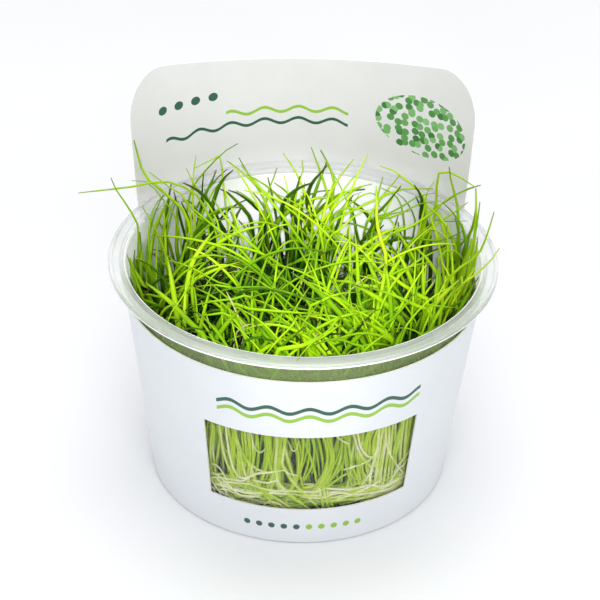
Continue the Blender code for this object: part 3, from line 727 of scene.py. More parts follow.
def card_sheet():
    """Return the card's inner face as a mesh whose UV map is in metres along and up the card."""
    tab_edges = (TAB_MIDDLE - TAB_EDGE, TAB_MIDDLE + TAB_EDGE)
    angles = {round(2.5 * i, 3) for i in range(144)} | {angle % 360.0 for angle in WINDOW_ANGLES}
    angles |= set(tab_edges)
    for corner_step in range(1, 12):
        inset = TAB_CORNER * (1.0 - math.sin(math.radians(7.5 * corner_step)))
        turn = math.degrees((TAB_HALF_WIDTH - inset) / TAB_RADIUS)
        angles |= {TAB_MIDDLE - turn, TAB_MIDDLE + turn}
    angles = sorted(angles)
    rows = sorted((SLEEVE_FOOT, WINDOW_LOW, WINDOW_HIGH, SLEEVE_TOP, *WRAP_ROWS))
    mesh = bmesh.new()
    flat = mesh.loops.layers.uv.new("card")
    columns = []
    for angle in angles:
        heights = list(rows)
        if tab_edges[0] <= angle <= tab_edges[1]:
            top = tab_outline(math.radians(angle - TAB_MIDDLE) * TAB_RADIUS)
            heights += [*FLARE_ROWS, *(FLARE_TOP + (top - FLARE_TOP) * share for share in TAB_ROWS)]
        columns.append([(mesh.verts.new(card_point(angle, height)), height) for height in heights])
    window_rows = range(rows.index(WINDOW_LOW), rows.index(WINDOW_HIGH))
    for i, angle in enumerate(angles):
        left, right = columns[i], columns[(i + 1) % len(angles)]
        next_angle = angles[(i + 1) % len(angles)] + (360.0 if i + 1 == len(angles) else 0.0)
        in_window = angle < WINDOW_ANGLES[1] - 0.01 or angle >= WINDOW_ANGLES[0] % 360.0 - 0.01
        for row in range(min(len(left), len(right)) - 1):
            if in_window and row in window_rows:
                continue
            corners = (left[row], right[row], right[row + 1], left[row + 1])
            face = mesh.faces.new([vertex for vertex, height in corners])
            turns = (angle, next_angle, next_angle, angle)
            for loop, (vertex, height), turn in zip(face.loops, corners, turns):
                loop[flat].uv = (math.radians(turn - 180.0) * PRINT_RADIUS, height)
    return mesh_from(mesh, "sleeve")


def printed(tree, settings, colour, across, up, ripples, dots):
    """Lay ripples and rows of dots over a card's colour, and return the colour's socket."""
    marks = []
    for height, left, right, swing, wave, width, ink in ripples:
        line = add_node(tree, "Math", {0: across, 1: 2.0 * math.pi / (wave * MM)}, operation="MULTIPLY")
        line = add_node(tree, "Math", {0: line}, operation="SINE")
        line = add_node(tree, "Math", {0: line, 1: swing * MM, 2: height * MM}, operation="MULTIPLY_ADD")
        away = add_node(tree, "Math", {0: up, 1: line}, operation="SUBTRACT")
        away = add_node(tree, "Math", {0: away}, operation="ABSOLUTE")
        marks.append((away, 0.5 * width * MM, left * MM, right * MM, ink))
    for height, left, right, pitch, radius, ink in dots:
        half = 0.5 * pitch * MM
        cell = add_node(tree, "Math", {0: across, 1: half, 2: -half}, operation="WRAP")
        rise = add_node(tree, "Math", {0: up, 1: height * MM}, operation="SUBTRACT")
        flat = add_node(tree, "CombineXYZ", {0: cell, 1: rise})
        away = add_node(tree, "VectorMath", {0: flat}, operation="LENGTH").outputs["Value"]
        marks.append((away, radius * MM, left * MM, right * MM, ink))
    for away, reach, left, right, ink in marks:
        mark = add_node(tree, "Math", {0: away, 1: reach}, operation="LESS_THAN")
        middle, half = 0.5 * (left + right), 0.5 * (right - left)
        span = add_node(tree, "Math", {0: across, 1: middle, 2: half}, operation="COMPARE")
        mask = add_node(tree, "Math", {0: mark, 1: span}, operation="MULTIPLY")
        green = (*getattr(settings, ink), 1.0)
        colour = add_node(tree, "Mix", {0: mask, 6: colour, 7: green}, data_type="RGBA").outputs[2]
    return colour


def card_stock(name, light, dark):
    """Coated card: a smooth clay coat over pulp, with a satin gloss and a faint mottle."""
    material, tree, shader, mottle = new_material(name, 90.0, 3.0, rough=(0.32, 0.42), values={"IOR": 1.5})
    colour = add_node(tree, "ValToRGB", {"Fac": mottle}, ((0.3, dark), (0.7, light))).outputs["Color"]
    place = add_node(tree, "TexCoord").outputs["Object"]
    fibre = add_node(tree, "TexNoise", {"Vector": place, "Scale": 1400.0, "Detail": 2.0})
    bump = add_node(tree, "Bump", {"Height": fibre, "Strength": 0.04, "Distance": 0.05 * MM})
    fill(tree, shader, {"Normal": bump})
    card = add_node(tree, "UVMap", uv_map="card")
    flat = add_node(tree, "SeparateXYZ", {"Vector": card})
    return material, tree, shader, colour, flat.outputs["X"], flat.outputs["Y"]


def wrap_card(settings):
    """White coated card, offset printed: plain ripples and a row of dots in two greens."""
    material, tree, shader, colour, across, up = card_stock(
        "white coated card with ripple print", "#E4E8EC", "#E0E5EA")
    half_round = math.pi * PRINT_RADIUS
    across = add_node(tree, "Math", {0: across, 1: half_round}, operation="ADD")
    across = add_node(tree, "Math", {0: across, 1: half_round, 2: -half_round}, operation="WRAP")
    colour = printed(tree, settings, colour, across, up, WRAP_RIPPLES, WRAP_DOTS)
    fill(tree, shader, {"Base Color": colour})
    return material


def tab_card(settings):
    """Grey coated card, offset printed: an oval of green specks, ripples and a row of dots."""
    material, tree, shader, colour, across, up = card_stock(
        "grey coated card with speck print", "#E2E2E2", "#DDDDDD")
    tilt = math.radians(TAB_MIDDLE - 180.0) * PRINT_RADIUS
    place = add_node(tree, "CombineXYZ", {0: across, 1: up})
    middle = (-OVAL_MIDDLE[0] - tilt, -OVAL_MIDDLE[1], 0.0)
    oval = add_node(tree, "Mapping", {"Vector": place, "Location": middle})
    oval = add_node(tree, "VectorMath", {0: oval, 1: (1.0, OVAL_SQUASH, 1.0)}, operation="MULTIPLY")
    away = add_node(tree, "VectorMath", {0: oval}, operation="LENGTH").outputs["Value"]
    inside = add_node(tree, "Math", {0: away, 1: OVAL_REACH}, operation="LESS_THAN")
    specks = add_node(tree, "TexVoronoi", {"Vector": place, "Scale": SPECKS_PER_METRE, "Randomness": 0.9},
                      voronoi_dimensions="2D")
    speck = add_node(tree, "Math", {0: specks.outputs["Distance"], 1: SPECK_SHARE}, operation="LESS_THAN")
    shade = add_node(tree, "SeparateColor", {"Color": specks.outputs["Color"]})
    greens = add_node(tree, "ValToRGB", {"Fac": shade}, (
        (0.0, "#3E7A3C"), (0.5, "#5E9E52"), (1.0, "#86BE78")))
    mask = add_node(tree, "Math", {0: speck, 1: inside}, operation="MULTIPLY")
    colour = add_node(tree, "Mix", {0: mask, 6: colour, 7: greens}, data_type="RGBA").outputs[2]
    colour = printed(tree, settings, colour, across, up, TAB_RIPPLES, TAB_DOTS)
    fill(tree, shader, {"Base Color": colour})
    return material


def cut_edge():
    """The card's cut edge: bare pulp, white and quite matt."""
    return new_material("cut card edge", 900.0, stops=((0.3, "#E9E9E6"), (0.7, "#F8F8F6")),
                        values={"Roughness": 0.8})[0]


# Foliage

def tab_reach(angles, heights):
    """Return the tab's distance from the axis at angles and heights, and where there is no tab, infinity."""
    off = off_tab(angles)
    lean = np.maximum(heights - FLARE_TOP, 0.0)
    bend = TAB_RADIUS + TAB_FLATTEN * lean
    shift = TAB_LEAN * lean - TAB_FLATTEN * lean
    turn = np.radians(off)
    far = shift * np.cos(turn) + np.sqrt(np.maximum(bend ** 2 - (shift * np.sin(turn)) ** 2, 0.0))
    return np.where(np.abs(off) < TAB_EDGE + 5.0, far, np.inf)


def room(points, radius):
    """Return how far from the axis each point of a path may be."""
    height = points[:, 2]
    wall = cup_inside(np.minimum(height, CUP_HEIGHT)) - WALL_CLEAR - radius
    card = tab_reach(np.degrees(np.arctan2(points[:, 0], -points[:, 1])), height) - radius - CARD_CLEAR
    over_rim = height > CUP_HEIGHT + radius + RIM_CLEAR
    return np.where(over_rim, np.minimum(card, LEAN_REACH), np.minimum(wall, card))


def held_in(points, radius):
    """Press a path against the cup's wall where it would pass through it, and keep it off the tab."""
    points = points.copy()
    for turn in range(3):
        flat = np.hypot(points[:, 0], points[:, 1])
        limit = room(points, radius)
        if turn == 0 and (flat <= limit).all():
            break
        points[:, :2] *= np.where(flat > limit, limit / np.maximum(flat, 1e-6), 1.0)[:, None]
        if turn < 2:
            points[2:-1] = 0.25 * points[1:-2] + 0.5 * points[2:-1] + 0.25 * points[3:]
    low, high = CAD_BOX
    for axis in (0, 1):
        points[:, axis] = np.clip(points[:, axis], low[axis] + radius, high[axis] - radius)
    return points


def blade_path(foot, splay, heading, length, bow, lateness, count):
    """Return the points of a leaf that splays as it rises and bows over towards a heading.

    The greater the lateness, the nearer the tip it bows.
    """
    share = (np.arange(count) + 0.5) / count
    tilt = bow * share ** lateness
    steps = np.column_stack((splay[0] + np.sin(tilt) * math.cos(heading),
                             splay[1] + np.sin(tilt) * math.sin(heading), np.cos(tilt)))
    steps *= length / count / np.linalg.norm(steps, axis=1)[:, None]
    return np.vstack((foot, foot + np.cumsum(steps, axis=0)))


def grown(rng, foot, splay, heading, length, bow, lateness, radius, highest, count=16):
    """Return the path of a leaf that stays within the rim and below a height, or None if it can't.

    The length and the height are in millimetres, and the bow is in degrees.
    """
    highest = highest * MM
    for attempt in range(GROWTH_TRIES):
        path = blade_path(foot, splay, heading, length * MM, math.radians(bow), lateness, count)
        rise = path[:, 2].max() - foot[2]
        if rise > highest - foot[2]:
            path = foot + (path - foot) * (highest - foot[2]) / rise
        flat = np.hypot(path[:, 0], path[:, 1])
        above = path[:, 2] > CUP_HEIGHT
        within = not above.any() or flat[above].max() < RIM_INNER + 0.6 * MM
        if within and (flat - room(path, radius)).max() < PRESS_LIMIT:
            return held_in(path, radius)
        heading = rng.uniform(-math.pi, math.pi)
    return None


def smooth_path(knots, count):
    """Return points evenly spread along a smooth curve through the knots."""
    knots = np.asarray(knots, float)
    ends = np.vstack((2 * knots[0] - knots[1], knots, 2 * knots[-1] - knots[-2]))
    curve = []
    for a, b, c, d in zip(ends, ends[1:], ends[2:], ends[3:]):
        for t in np.arange(8) / 8.0:
            curve.append(0.5 * (2 * b + (c - a) * t + (2 * a - 5 * b + 4 * c - d) * t * t
                                + (3 * b - a - 3 * c + d) * t ** 3))
    curve.append(knots[-1])
    curve = np.array(curve)
    run = np.concatenate(([0.0], np.cumsum(np.linalg.norm(np.diff(curve, axis=0), axis=1))))
    wanted = np.linspace(0.0, run[-1], count)
    return np.column_stack([np.interp(wanted, run, curve[:, axis]) for axis in range(3)])


def blade_radii(count, radius, tip):
    """Return a leaf's radius along it.

    It is four fifths at the foot, full from a quarter of the way up, and narrows over the last part
    to its share at the tip.
    """
    share = np.arange(count) / (count - 1)
    body = 0.8 + 0.2 * np.minimum(share / 0.25, 1.0)
    point = 1.0 - (1.0 - tip) * np.clip((share - 0.72) / 0.28, 0.0, 1.0) ** 2.2
    return radius * body * point


class Paths:
    """Paths gathered for one piece, with what each point carries."""

    def __init__(self):
        self.points, self.edges, self.carried, self.total = [], [], [], 0

    def add(self, points, radii, tone, start=0.0):
        """Add one path. Start says how far up the leaf it begins, from 0 at the foot to 1 at the tip."""
        count = len(points)
        along = start + (1.0 - start) * np.arange(count) / (count - 1)
        index = self.total + np.arange(count)
        self.points.append(points)
        self.edges.append(np.column_stack((index[:-1], index[1:])))
        self.carried.append(np.column_stack([np.broadcast_to(part, count) for part in (radii, along, tone)]))
        self.total += count

    def mesh(self, name):
        """Return the paths as a mesh of edges that carries radius, along and tone."""
        mesh = bpy.data.meshes.new(name)
        mesh.from_pydata(np.vstack(self.points).tolist(), np.vstack(self.edges).tolist(), [])
        carried = np.vstack(self.carried).astype(np.float32)
        for column, label in enumerate(("radius", "along", "tone")):
            attribute = mesh.attributes.new(label, "FLOAT", "POINT")
            attribute.data.foreach_set("value", carried[:, column])
        return mesh


def sector_of(point):
    """Return the number of the sector that holds a point. The first is centred on the front."""
    width = 360.0 / len(SECTORS)
    angle = math.degrees(math.atan2(point[0], -point[1]))
    return int(((angle + 0.5 * width) % 360.0) // width)


class Sectors:
    """The foliage, shared out by where each leaf's foot stands."""

    def __init__(self):
        self.parts = [Paths() for name in SECTORS]

    def add(self, path, radius, tone, tip=0.4, start=0.3):
        """Add a leaf to the sector of its foot."""
        self.parts[sector_of(path[0])].add(path, blade_radii(len(path), radius, tip), tone, start)


def tuft_nodes(sector):
    """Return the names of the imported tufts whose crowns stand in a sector."""
    crowns = [around(index * TUFT_TURN, TUFT_SPREAD * math.sqrt((index + 0.5) / TUFTS), 0.0)
              for index in range(TUFTS)]
    return [f"tuft_{number:02d}" for number, crown in enumerate(crowns, 1) if sector_of(crown) == sector]


def sweep_tree():
    """Build the node tree that sweeps a round section along every path of a mesh."""
    tree = bpy.data.node_groups.new("Sweep stems", "GeometryNodeTree")
    for name, kind, way in (("Paths", "Geometry", "INPUT"), ("Sides", "Int", "INPUT"),
                            ("Finish", "Material", "INPUT"), ("Stems", "Geometry", "OUTPUT")):
        tree.interface.new_socket(name, in_out=way, socket_type="NodeSocket" + kind)
    given = add_node(tree, "NodeGroupInput").outputs
    radius = add_node(tree, "GeometryNodeInputNamedAttribute", {"Name": "radius"}, data_type="FLOAT")
    curve = add_node(tree, "GeometryNodeMeshToCurve", {"Mesh": given["Paths"]})
    ring = add_node(tree, "GeometryNodeCurvePrimitiveCircle", {"Resolution": given["Sides"], "Radius": 1.0})
    stems = add_node(tree, "GeometryNodeCurveToMesh", {
        "Curve": curve, "Profile Curve": ring, "Scale": radius, "Fill Caps": True})
    smooth = add_node(tree, "GeometryNodeSetShadeSmooth", {"Geometry": stems, "Shade Smooth": True})
    real = add_node(tree, "GeometryNodeRealizeInstances", {"Geometry": smooth})
    finish = add_node(tree, "GeometryNodeSetMaterial", {"Geometry": real, "Material": given["Finish"]})
    add_node(tree, "NodeGroupOutput", {"Stems": finish})
    return tree


def plain_mesh(name, carrier):
    """Return what an object's modifiers make of it as a plain mesh, and remove the object."""
    graph = bpy.context.evaluated_depsgraph_get()
    mesh = bpy.data.meshes.new_from_object(carrier.evaluated_get(graph))
    mesh.name = name
    carrier.modifiers.clear()
    bpy.data.objects.remove(carrier, do_unlink=True)
    return mesh


def swept_mesh(name, paths, material, sides=5):
    """Sweep a round section along paths and return the plain mesh."""
    tree = bpy.data.node_groups.get("Sweep stems") or sweep_tree()
    carrier = bpy.data.objects.new(name + "_paths", paths.mesh(name + "_paths"))
    bpy.context.scene.collection.objects.link(carrier)
    sweep = carrier.modifiers.new("Sweep", "NODES")
    sweep.node_group = tree
    inputs = {item.name: item.identifier for item in tree.interface.items_tree if item.in_out == "INPUT"}
    sweep[inputs["Sides"]] = sides
    sweep[inputs["Finish"]] = material
    return plain_mesh(name, carrier)


def leaf_green(settings):
    """Living grass leaf: a smooth waxy skin over green, paler at the foot, darker at the tip."""
    material, tree, shader, mottle = new_material(
        "living grass leaf", 180.0, 3.0, rough=(settings.gloss - 0.06, settings.gloss + 0.06),
        values={"IOR": 1.38, "Specular IOR Level": 0.2})
    tone, along = (add_node(tree, "Attribute", attribute_name=name).outputs["Fac"]
                   for name in ("tone", "along"))
    spans = ((mottle, 0.3, 0.7, -0.05, 0.05), (along, 0.0, 0.36, 0.7, 0.0), (along, 0.93, 1.0, 0.0, 1.0),
             (tone, 0.35, 0.7, 0.9, 0.1))
    shift, foot, tip, aged = (add_node(tree, "MapRange", {
        "Value": value, "From Min": low, "From Max": high, "To Min": first, "To Max": last})
        for value, low, high, first, last in spans)
    mixed = add_node(tree, "Math", {0: tone, 1: shift}, operation="ADD")
    body = add_node(tree, "ValToRGB", {"Fac": mixed}, (
        (0.0, "#061402"), (0.16, "#245206"), (0.38, "#6A9C0A"), (0.58, "#99C50E"), (0.785, "#C4E42A"),
        (0.83, "#E6F28E"), (0.88, "#FFFFDC"), (0.97, "#FFFFDC"), (1.0, "#B5B07C")))
    tip = add_node(tree, "Math", {0: tip, 1: aged}, operation="MULTIPLY")
    colour = body.outputs["Color"]
    for share, code in ((foot, "#CFDC7E"), (tip, "#45471F")):
        colour = add_node(tree, "Mix", {0: share, 6: colour, 7: srgb(code)}, data_type="RGBA").outputs[2]
    fill(tree, shader, {"Base Color": colour})
    return material


def runner_skin():
    """Creeping stem: pale, smooth and slightly shiny, with brown sheaths at its joints."""
    material, tree, shader, mottle = new_material(
        "creeping stem skin", 400.0, 3.0, values={"IOR": 1.42, "Roughness": 0.4})
    tone = add_node(tree, "Attribute", attribute_name="tone").outputs["Fac"]
    shift = add_node(tree, "Math", {0: mottle, 1: 0.25, 2: tone}, operation="MULTIPLY_ADD")
    colour = add_node(tree, "ValToRGB", {"Fac": shift}, (
        (0.05, "#F3F1D6"), (0.3, "#E2E6B0"), (0.55, "#C9D27E"), (0.9, "#A5793F"), (1.0, "#7A5226")))
    fill(tree, shader, {"Base Color": colour})
    return material


def root_felt():
    """Felt of roots in a little growing gel: tangled pale threads over dark green, and moist."""
    material, tree, shader, patches = new_material(
        "root felt in gel", 90.0, values={"Roughness": 0.6, "Specular IOR Level": 0.15})
    place = add_node(tree, "TexCoord").outputs["Object"]
    tangle = add_node(tree, "TexNoise", {"Vector": place, "Scale": 350.0, "Detail": 6.0, "Distortion": 1.5})
    blend = add_node(tree, "Math", {0: patches, 1: 0.5, 2: tangle}, operation="MULTIPLY_ADD")
    colour = add_node(tree, "ValToRGB", {"Fac": blend}, (
        (0.5, "#0A1403"), (0.68, "#172808"), (0.8, "#304A12"), (0.95, "#80864E")))
    bump = add_node(tree, "Bump", {"Height": tangle, "Strength": 0.8, "Distance": 0.6 * MM})
    fill(tree, shader, {"Base Color": colour, "Normal": bump})
    return material


def shade_by_depth(path, tone, shade_tone=0.0):
    """Return a leaf's tone along it, with painted shade: the shade tone down in the mass, its own tone at the
    mass's top.
    """
    side, depth, height = abs(path[:, 0] / MM), path[:, 1] / MM, path[:, 2] / MM
    # The mass's top is 57 mm up at the front, rises 5 mm towards the back and falls 8 mm to the sides
    surface = 57.0 + 5.0 * smooth_step(-36.0, -8.0, depth) - 8.0 * smooth_step(24.0, 37.0, side)
    # Below the mass's top the tone sinks to the shade tone: painted shade where the leaves above keep the
    # light off
    lit = smooth_step(-18.0, -2.0, height - surface)
    # Leaves are darker in the middle and the front, and low ones by the front wall get a paler shade tone:
    # painted light from the window
    tone = tone - 0.17 * (1.0 - smooth_step(2.0, 26.0, depth + 1.3 * side))
    shade_tone = shade_tone + 0.2 * smooth_step(-45.0, -30.0, -height) * smooth_step(24.0, 34.0, -depth)
    return shade_tone + (np.clip(tone, shade_tone, TOP_TONE) - shade_tone) * lit


def crowd(place):
    """Return how thickly tufts stand at a place: close in front, few at the back and in the hollows."""
    for x, y, reach in HOLLOWS:
        if math.hypot(place[0] - x * MM, place[1] - y * MM) < reach * MM:
            return 0.0
    return 1.0 - 0.88 * smooth_step(-8.0 * MM, 12.0 * MM, place[1] + 0.3 * place[0])


def pointing(heading, amount):
    """Return a flat vector that points along a heading."""
    return amount * np.array((math.cos(heading), math.sin(heading)))


def clipped(rng, middle, spread, low, high):
    """Return a random tone about a middle one, held between two limits."""
    return float(np.clip(rng.normal(middle, spread), low, high))


def grow_tufts(rng, settings, groups):
    """Grow the tufts that stand close together in front and thin out towards the back."""
    planted = 0
    while planted < settings.tufts:
        angle = rng.uniform(-180.0, 180.0)
        centre = np.array(around(angle, PLANTED_REACH * math.sqrt(rng.uniform()), CROWN_LEVEL))
        if rng.uniform() > crowd(centre):
            continue
        planted += 1
        front = 1.0 - smooth_step(-16.0 * MM, 8.0 * MM, centre[1])
        ceiling = 57.0 - 15.0 * smooth_step(0.0, 22.0 * MM, centre[1] + 0.2 * centre[0])
        tuft_tone = 0.2 + 0.1 * front + rng.normal(0.0, 0.07)
        for number in range(rng.integers(5, 9)):
            foot = centre + np.append(rng.normal(0.0, 1.0 * MM, 2), rng.uniform(-0.8, 0.6) * MM)
            heading = rng.uniform(-math.pi, math.pi)
            splay = centre[:2] / MAT_REACH * 0.12 + pointing(heading, abs(rng.normal(0.10, 0.12)))
            radius = rng.uniform(0.30, 0.46) * MM
            path = grown(rng, foot, splay, heading=heading + rng.normal(0.0, 0.5),
                         length=rng.uniform(44.0, 66.0), bow=rng.uniform(20.0, 120.0),
                         lateness=rng.uniform(1.6, 3.0), radius=radius,
                         highest=ceiling - rng.uniform(0.0, 9.0), count=14)
            if path is not None:
                tone = float(np.clip(tuft_tone + rng.normal(0.0, 0.11), 0.0, 0.6))
                groups.add(path, radius, shade_by_depth(path, tone))


def grow_arching(rng, settings, groups):
    """Grow the long leaves that fountain up and bow over each other on top of the rest."""
    for number in range(settings.arching):
        back = number % 6 == 0
        by_rim = number % 4 == 1
        out = ARCHING_REACH * (rng.uniform() if back else rng.uniform() ** 0.5)
        angle = rng.uniform(90.0, 270.0) if back else rng.uniform(-125.0, 125.0)
        if by_rim:
            out, angle = rng.uniform(32.0, 35.5) * MM, rng.uniform(-80.0, 80.0)
        centre = np.array(around(angle, out, CROWN_LEVEL))
        heading = rng.uniform(-math.pi, math.pi) if number % 2 else rng.normal(0.5 * math.pi, 0.9)
        if out > 22.0 * MM and not by_rim:
            heading = math.atan2(-centre[1] - 2.0 * MM, -centre[0]) + rng.normal(0.0, 0.9)
        splay = centre[:2] / MAT_REACH * 0.10 + pointing(heading, abs(rng.normal(0.0, 0.16)))
        radius = (rng.uniform(0.22, 0.34) if back else rng.uniform(0.24, 0.42)) * MM
        path = grown(rng, centre, splay, heading, length=rng.uniform(58.0, 84.0),
                     bow=rng.uniform(30.0, 125.0), lateness=rng.uniform(1.5, 3.2), radius=radius,
                     highest=rng.uniform(54.0, 69.0 if back else 65.0), count=24)
        if path is None or (not back and (path[:, 1].max() > 11.0 * MM or crowd(centre) == 0.0)):
            continue
        bright = 1.0 - smooth_step(-32.0 * MM, 6.0 * MM, centre[1] - 0.4 * centre[0])
        tone = clipped(rng, 0.72 if back else 0.53 + 0.14 * bright, spread=0.15, low=0.06, high=0.745)
        groups.add(path, radius, shade_by_depth(path, tone))


def grow_bold(rng, groups):
    """Grow the few broad bright leaves, in fans, that stand out in front."""
    for x, y, count, heading in BOLD_FANS:
        for number in range(count):
            foot = np.array((x * MM, y * MM, CROWN_LEVEL)) + np.append(rng.normal(0.0, 1.2 * MM, 2), 0.0)
            turn = math.radians(heading) + rng.normal(0.0, 0.6)
            radius = rng.uniform(0.52, 0.82) * MM
            splay = foot[:2] / MAT_REACH * 0.14
            path = grown(rng, foot, splay, turn, length=rng.uniform(52.0, 70.0),
                         bow=rng.uniform(30.0, 88.0), lateness=rng.uniform(1.2, 2.0), radius=radius,
                         highest=rng.uniform(56.0, 65.0))
            if path is not None:
                tone = clipped(rng, 0.64, spread=0.10, low=0.3, high=0.79)
                groups.add(path, radius, shade_by_depth(path, tone, shade_tone=0.08), tip=0.15)


def grow_tall(rng, groups):
    """Grow the clumps of tall dark leaves at the cup's back and sides, in front of the tab."""
    for x, y, count, top, clump_tone in TALL_CLUMPS:
        centre = np.array((x * MM, y * MM, CROWN_LEVEL))
        centre[:2] *= min(1.0, FELT_RADIUS / math.hypot(centre[0], centre[1]))
        for number in range(count):
            foot = centre + np.append(rng.normal(0.0, 1.1 * MM, 2), 0.0)
            splay = centre[:2] / MAT_REACH * 0.12 + rng.normal(0.0, 0.085, 2)
            heading = rng.uniform(-math.pi, math.pi)
            bow = rng.uniform(5.0, 100.0)
            radius = rng.uniform(0.30, 0.58) * MM
            highest = top - abs(rng.normal(0.0, 4.5))
            path = grown(rng, foot, splay, heading, length=rng.uniform(54.0, 70.0), bow=bow,
                         lateness=rng.uniform(1.8, 3.2), radius=radius, highest=highest)
            if path is not None:
                tone = clipped(rng, clump_tone, spread=0.12, low=0.02, high=0.65)
                groups.add(path, radius, shade_by_depth(path, tone, shade_tone=0.1), tip=0.35)


def marked(marks, axis):
    """Return the points of a leaf marked in the photograph, to a tenth of a millimetre."""
    return np.round([seen_at(column, row, axis, level) for column, row, level in marks], 1) * MM


def grow_long(rng, groups):
    """Grow the leaves marked on top of the mass and those that stand out of it."""
    for marks, radius, tone in TRACED_LEAVES:
        knots = marked(marks, HEIGHT_AXIS)
        foot = np.array((0.8 * knots[0][0], 0.8 * knots[0][1], TRACED_FOOT))
        path = smooth_path(np.vstack((foot, foot + 0.55 * (knots[0] - foot), knots)), 24)
        path = held_in(path, radius * MM)
        groups.add(path, radius * MM, shade_by_depth(path, tone, shade_tone=0.06), tip=0.25)
    for marks, radius in LONG_LEAVES:
        knots = marked(marks, DEPTH_AXIS)
        leave, ahead = knots[0], knots[1] - knots[0]
        foot = np.array((0.74 * leave[0], 0.74 * leave[1], TRACED_FOOT))
        shoulder = leave - 0.9 * ahead / np.linalg.norm(ahead) * 12.0 * MM
        shoulder[:2] = 0.5 * (shoulder[:2] + 0.93 * leave[:2])
        middle = foot + 0.45 * (shoulder - foot)
        middle[:2] += 0.02 * leave[:2]
        path = held_in(smooth_path(np.vstack((foot, middle, shoulder, knots)), 20), radius * MM)
        groups.add(path, radius * MM, rng.uniform(0.46, 0.71), start=0.0)


def wall_path(knots, radius, inset, count=16):
    """Return a smooth path along the inside of the cup's wall, from (angle, height) knots."""
    knots = np.array(knots, float)
    flat = smooth_path(np.column_stack((knots, np.zeros(len(knots)))), count)
    height = flat[:, 1] * MM
    return along_wall(np.radians(flat[:, 0]), cup_inside(height) - inset - radius, height)


def seen_on_wall(column, row):
    """Return a mark's angle and height at the front wall, to a tenth of a degree and a millimetre."""
    depth = -FOOT_RADIUS / MM
    for step in range(SIGHT_STEPS):
        side, depth, height = seen_at(column, row, DEPTH_AXIS, depth)
        out = cup_inside(height * MM) / MM - STRAND_INSET
        depth = -math.sqrt(out ** 2 - side ** 2)
    return round(math.degrees(math.atan2(side, -depth)), 1), round(height, 1)


def grow_wall(rng, settings, groups):
    """Grow the stems that stand against the front wall, where the window shows them."""
    # Each bundle has an angle, a lean and a bend in degrees, and a tone, set pale as painted light
    bundles = [(rng.uniform(-1.8, 1.8) - 60.0 + 2.9 * number, rng.normal(0.0, 4.5), rng.normal(0.0, 3.5),
                rng.normal(0.762, 0.02)) for number in range(BUNDLES)]
    for number in range(settings.by_wall):
        middle, lean, bend, tone = bundles[rng.integers(len(bundles))]
        spread = rng.normal(0.0, 2.0)
        angle = middle + 0.6 * spread
        lean += 0.8 * spread + rng.normal(0.0, 1.0)
        depth = 0.2 + 6.0 * rng.uniform() ** 1.6
        foot = rng.uniform(12.0, 16.5)
        top = rng.uniform(36.0, 47.0)
        knots = [(angle, foot), (angle + 0.35 * lean + bend, foot + 0.35 * (top - foot)),
                 (angle + 0.75 * lean + bend, foot + 0.7 * (top - foot)), (angle + lean, top)]
        radius = rng.uniform(0.26, 0.46) * MM
        path = wall_path(knots, radius, inset=depth * MM)
        path[-5:, :2] *= np.linspace(0.99, rng.uniform(0.88, 0.97), 5)[:, None]
        # Stems get pale tones and a long pale foot, painted light for the light through the window, and
        # darker tones the farther they stand from the wall, painted shade
        tone = float(np.clip(rng.normal(tone, 0.02) - 0.055 * max(depth - 0.6, 0.0), 0.1, 0.82))
        groups.add(path, radius, tone, start=0.07)


def grow_lying(rng, groups):
    """Lay leaves and pale strands round the foot of the front wall."""
    for number in range(LYING_LEAVES):
        angle = rng.uniform(-62.0, 46.0)
        sweep = rng.uniform(9.0, 40.0)
        low = rng.uniform(10.0, 15.5)
        rise = rng.normal(1.0, 2.2)
        bump = rng.normal(0.0, 0.8)
        knots = [(angle, low), (angle + 0.35 * sweep, low + 0.3 * rise + bump),
                 (angle + 0.7 * sweep, low + 0.7 * rise - 0.6 * bump), (angle + sweep, low + rise)]
        radius = rng.uniform(0.26, 0.46) * MM
        path = wall_path(knots, radius, inset=rng.uniform(0.1, 1.3) * MM)
        pale = rng.uniform() < 0.16
        tone = 0.89 if pale else clipped(rng, 0.7, spread=0.16, low=0.05, high=0.82)
        groups.add(path, radius, tone, tip=0.3, start=0.22)
    for marks, radius, tone in WALL_STRANDS:
        knots = [seen_on_wall(column, row) for column, row in marks]
        path = wall_path(knots, radius * MM, inset=0.05 * MM, count=28)
        groups.add(path, radius * MM, tone, tip=0.5, start=0.36)


def grow_brown(rng, groups):
    """Scatter the few dead brown leaves among the others."""
    for number in range(DEAD_LEAVES):
        turn = rng.uniform(0.0, 2.0 * math.pi)
        out = ARCHING_REACH * math.sqrt(rng.uniform(0.0, 1.0))
        foot = np.array((out * math.sin(turn), -out * math.cos(turn), rng.uniform(30.0, 52.0) * MM))
        splay = rng.normal(0.0, 0.6, 2)
        path = blade_path(foot, splay, heading=rng.uniform(-math.pi, math.pi),
                          length=rng.uniform(7.0, 15.0) * MM, bow=math.radians(rng.uniform(10.0, 80.0)),
                          lateness=1.5, count=8)
        radius = rng.uniform(0.16, 0.28) * MM
        groups.add(held_in(path, radius), radius, tone=DEAD_TONE, start=0.36)


# Settings and operators

class HairgrassCupSettings(bpy.types.PropertyGroup):
    """Sizes and finish of the clear cup."""

    sides: bpy.props.IntProperty(
        name="Sides", description="Facets round the cup", default=160, min=48, max=256)
    haze: bpy.props.FloatProperty(
        name="Haze", description="Roughness of the moulded plastic", default=0.012, min=0.0, max=0.3,
        subtype="FACTOR")


class HairgrassCardSettings(bpy.types.PropertyGroup):
    """Colours of the card sleeve's print."""

    dark_ink: bpy.props.FloatVectorProperty(
        name="Dark ink", description="Darker green of the print", subtype="COLOR", size=3,
        default=srgb("#2F5E4A")[:3], min=0.0, max=1.0)
    light_ink: bpy.props.FloatVectorProperty(
        name="Light ink", description="Lighter green of the print", subtype="COLOR", size=3,
        default=srgb("#93C13F")[:3], min=0.0, max=1.0)


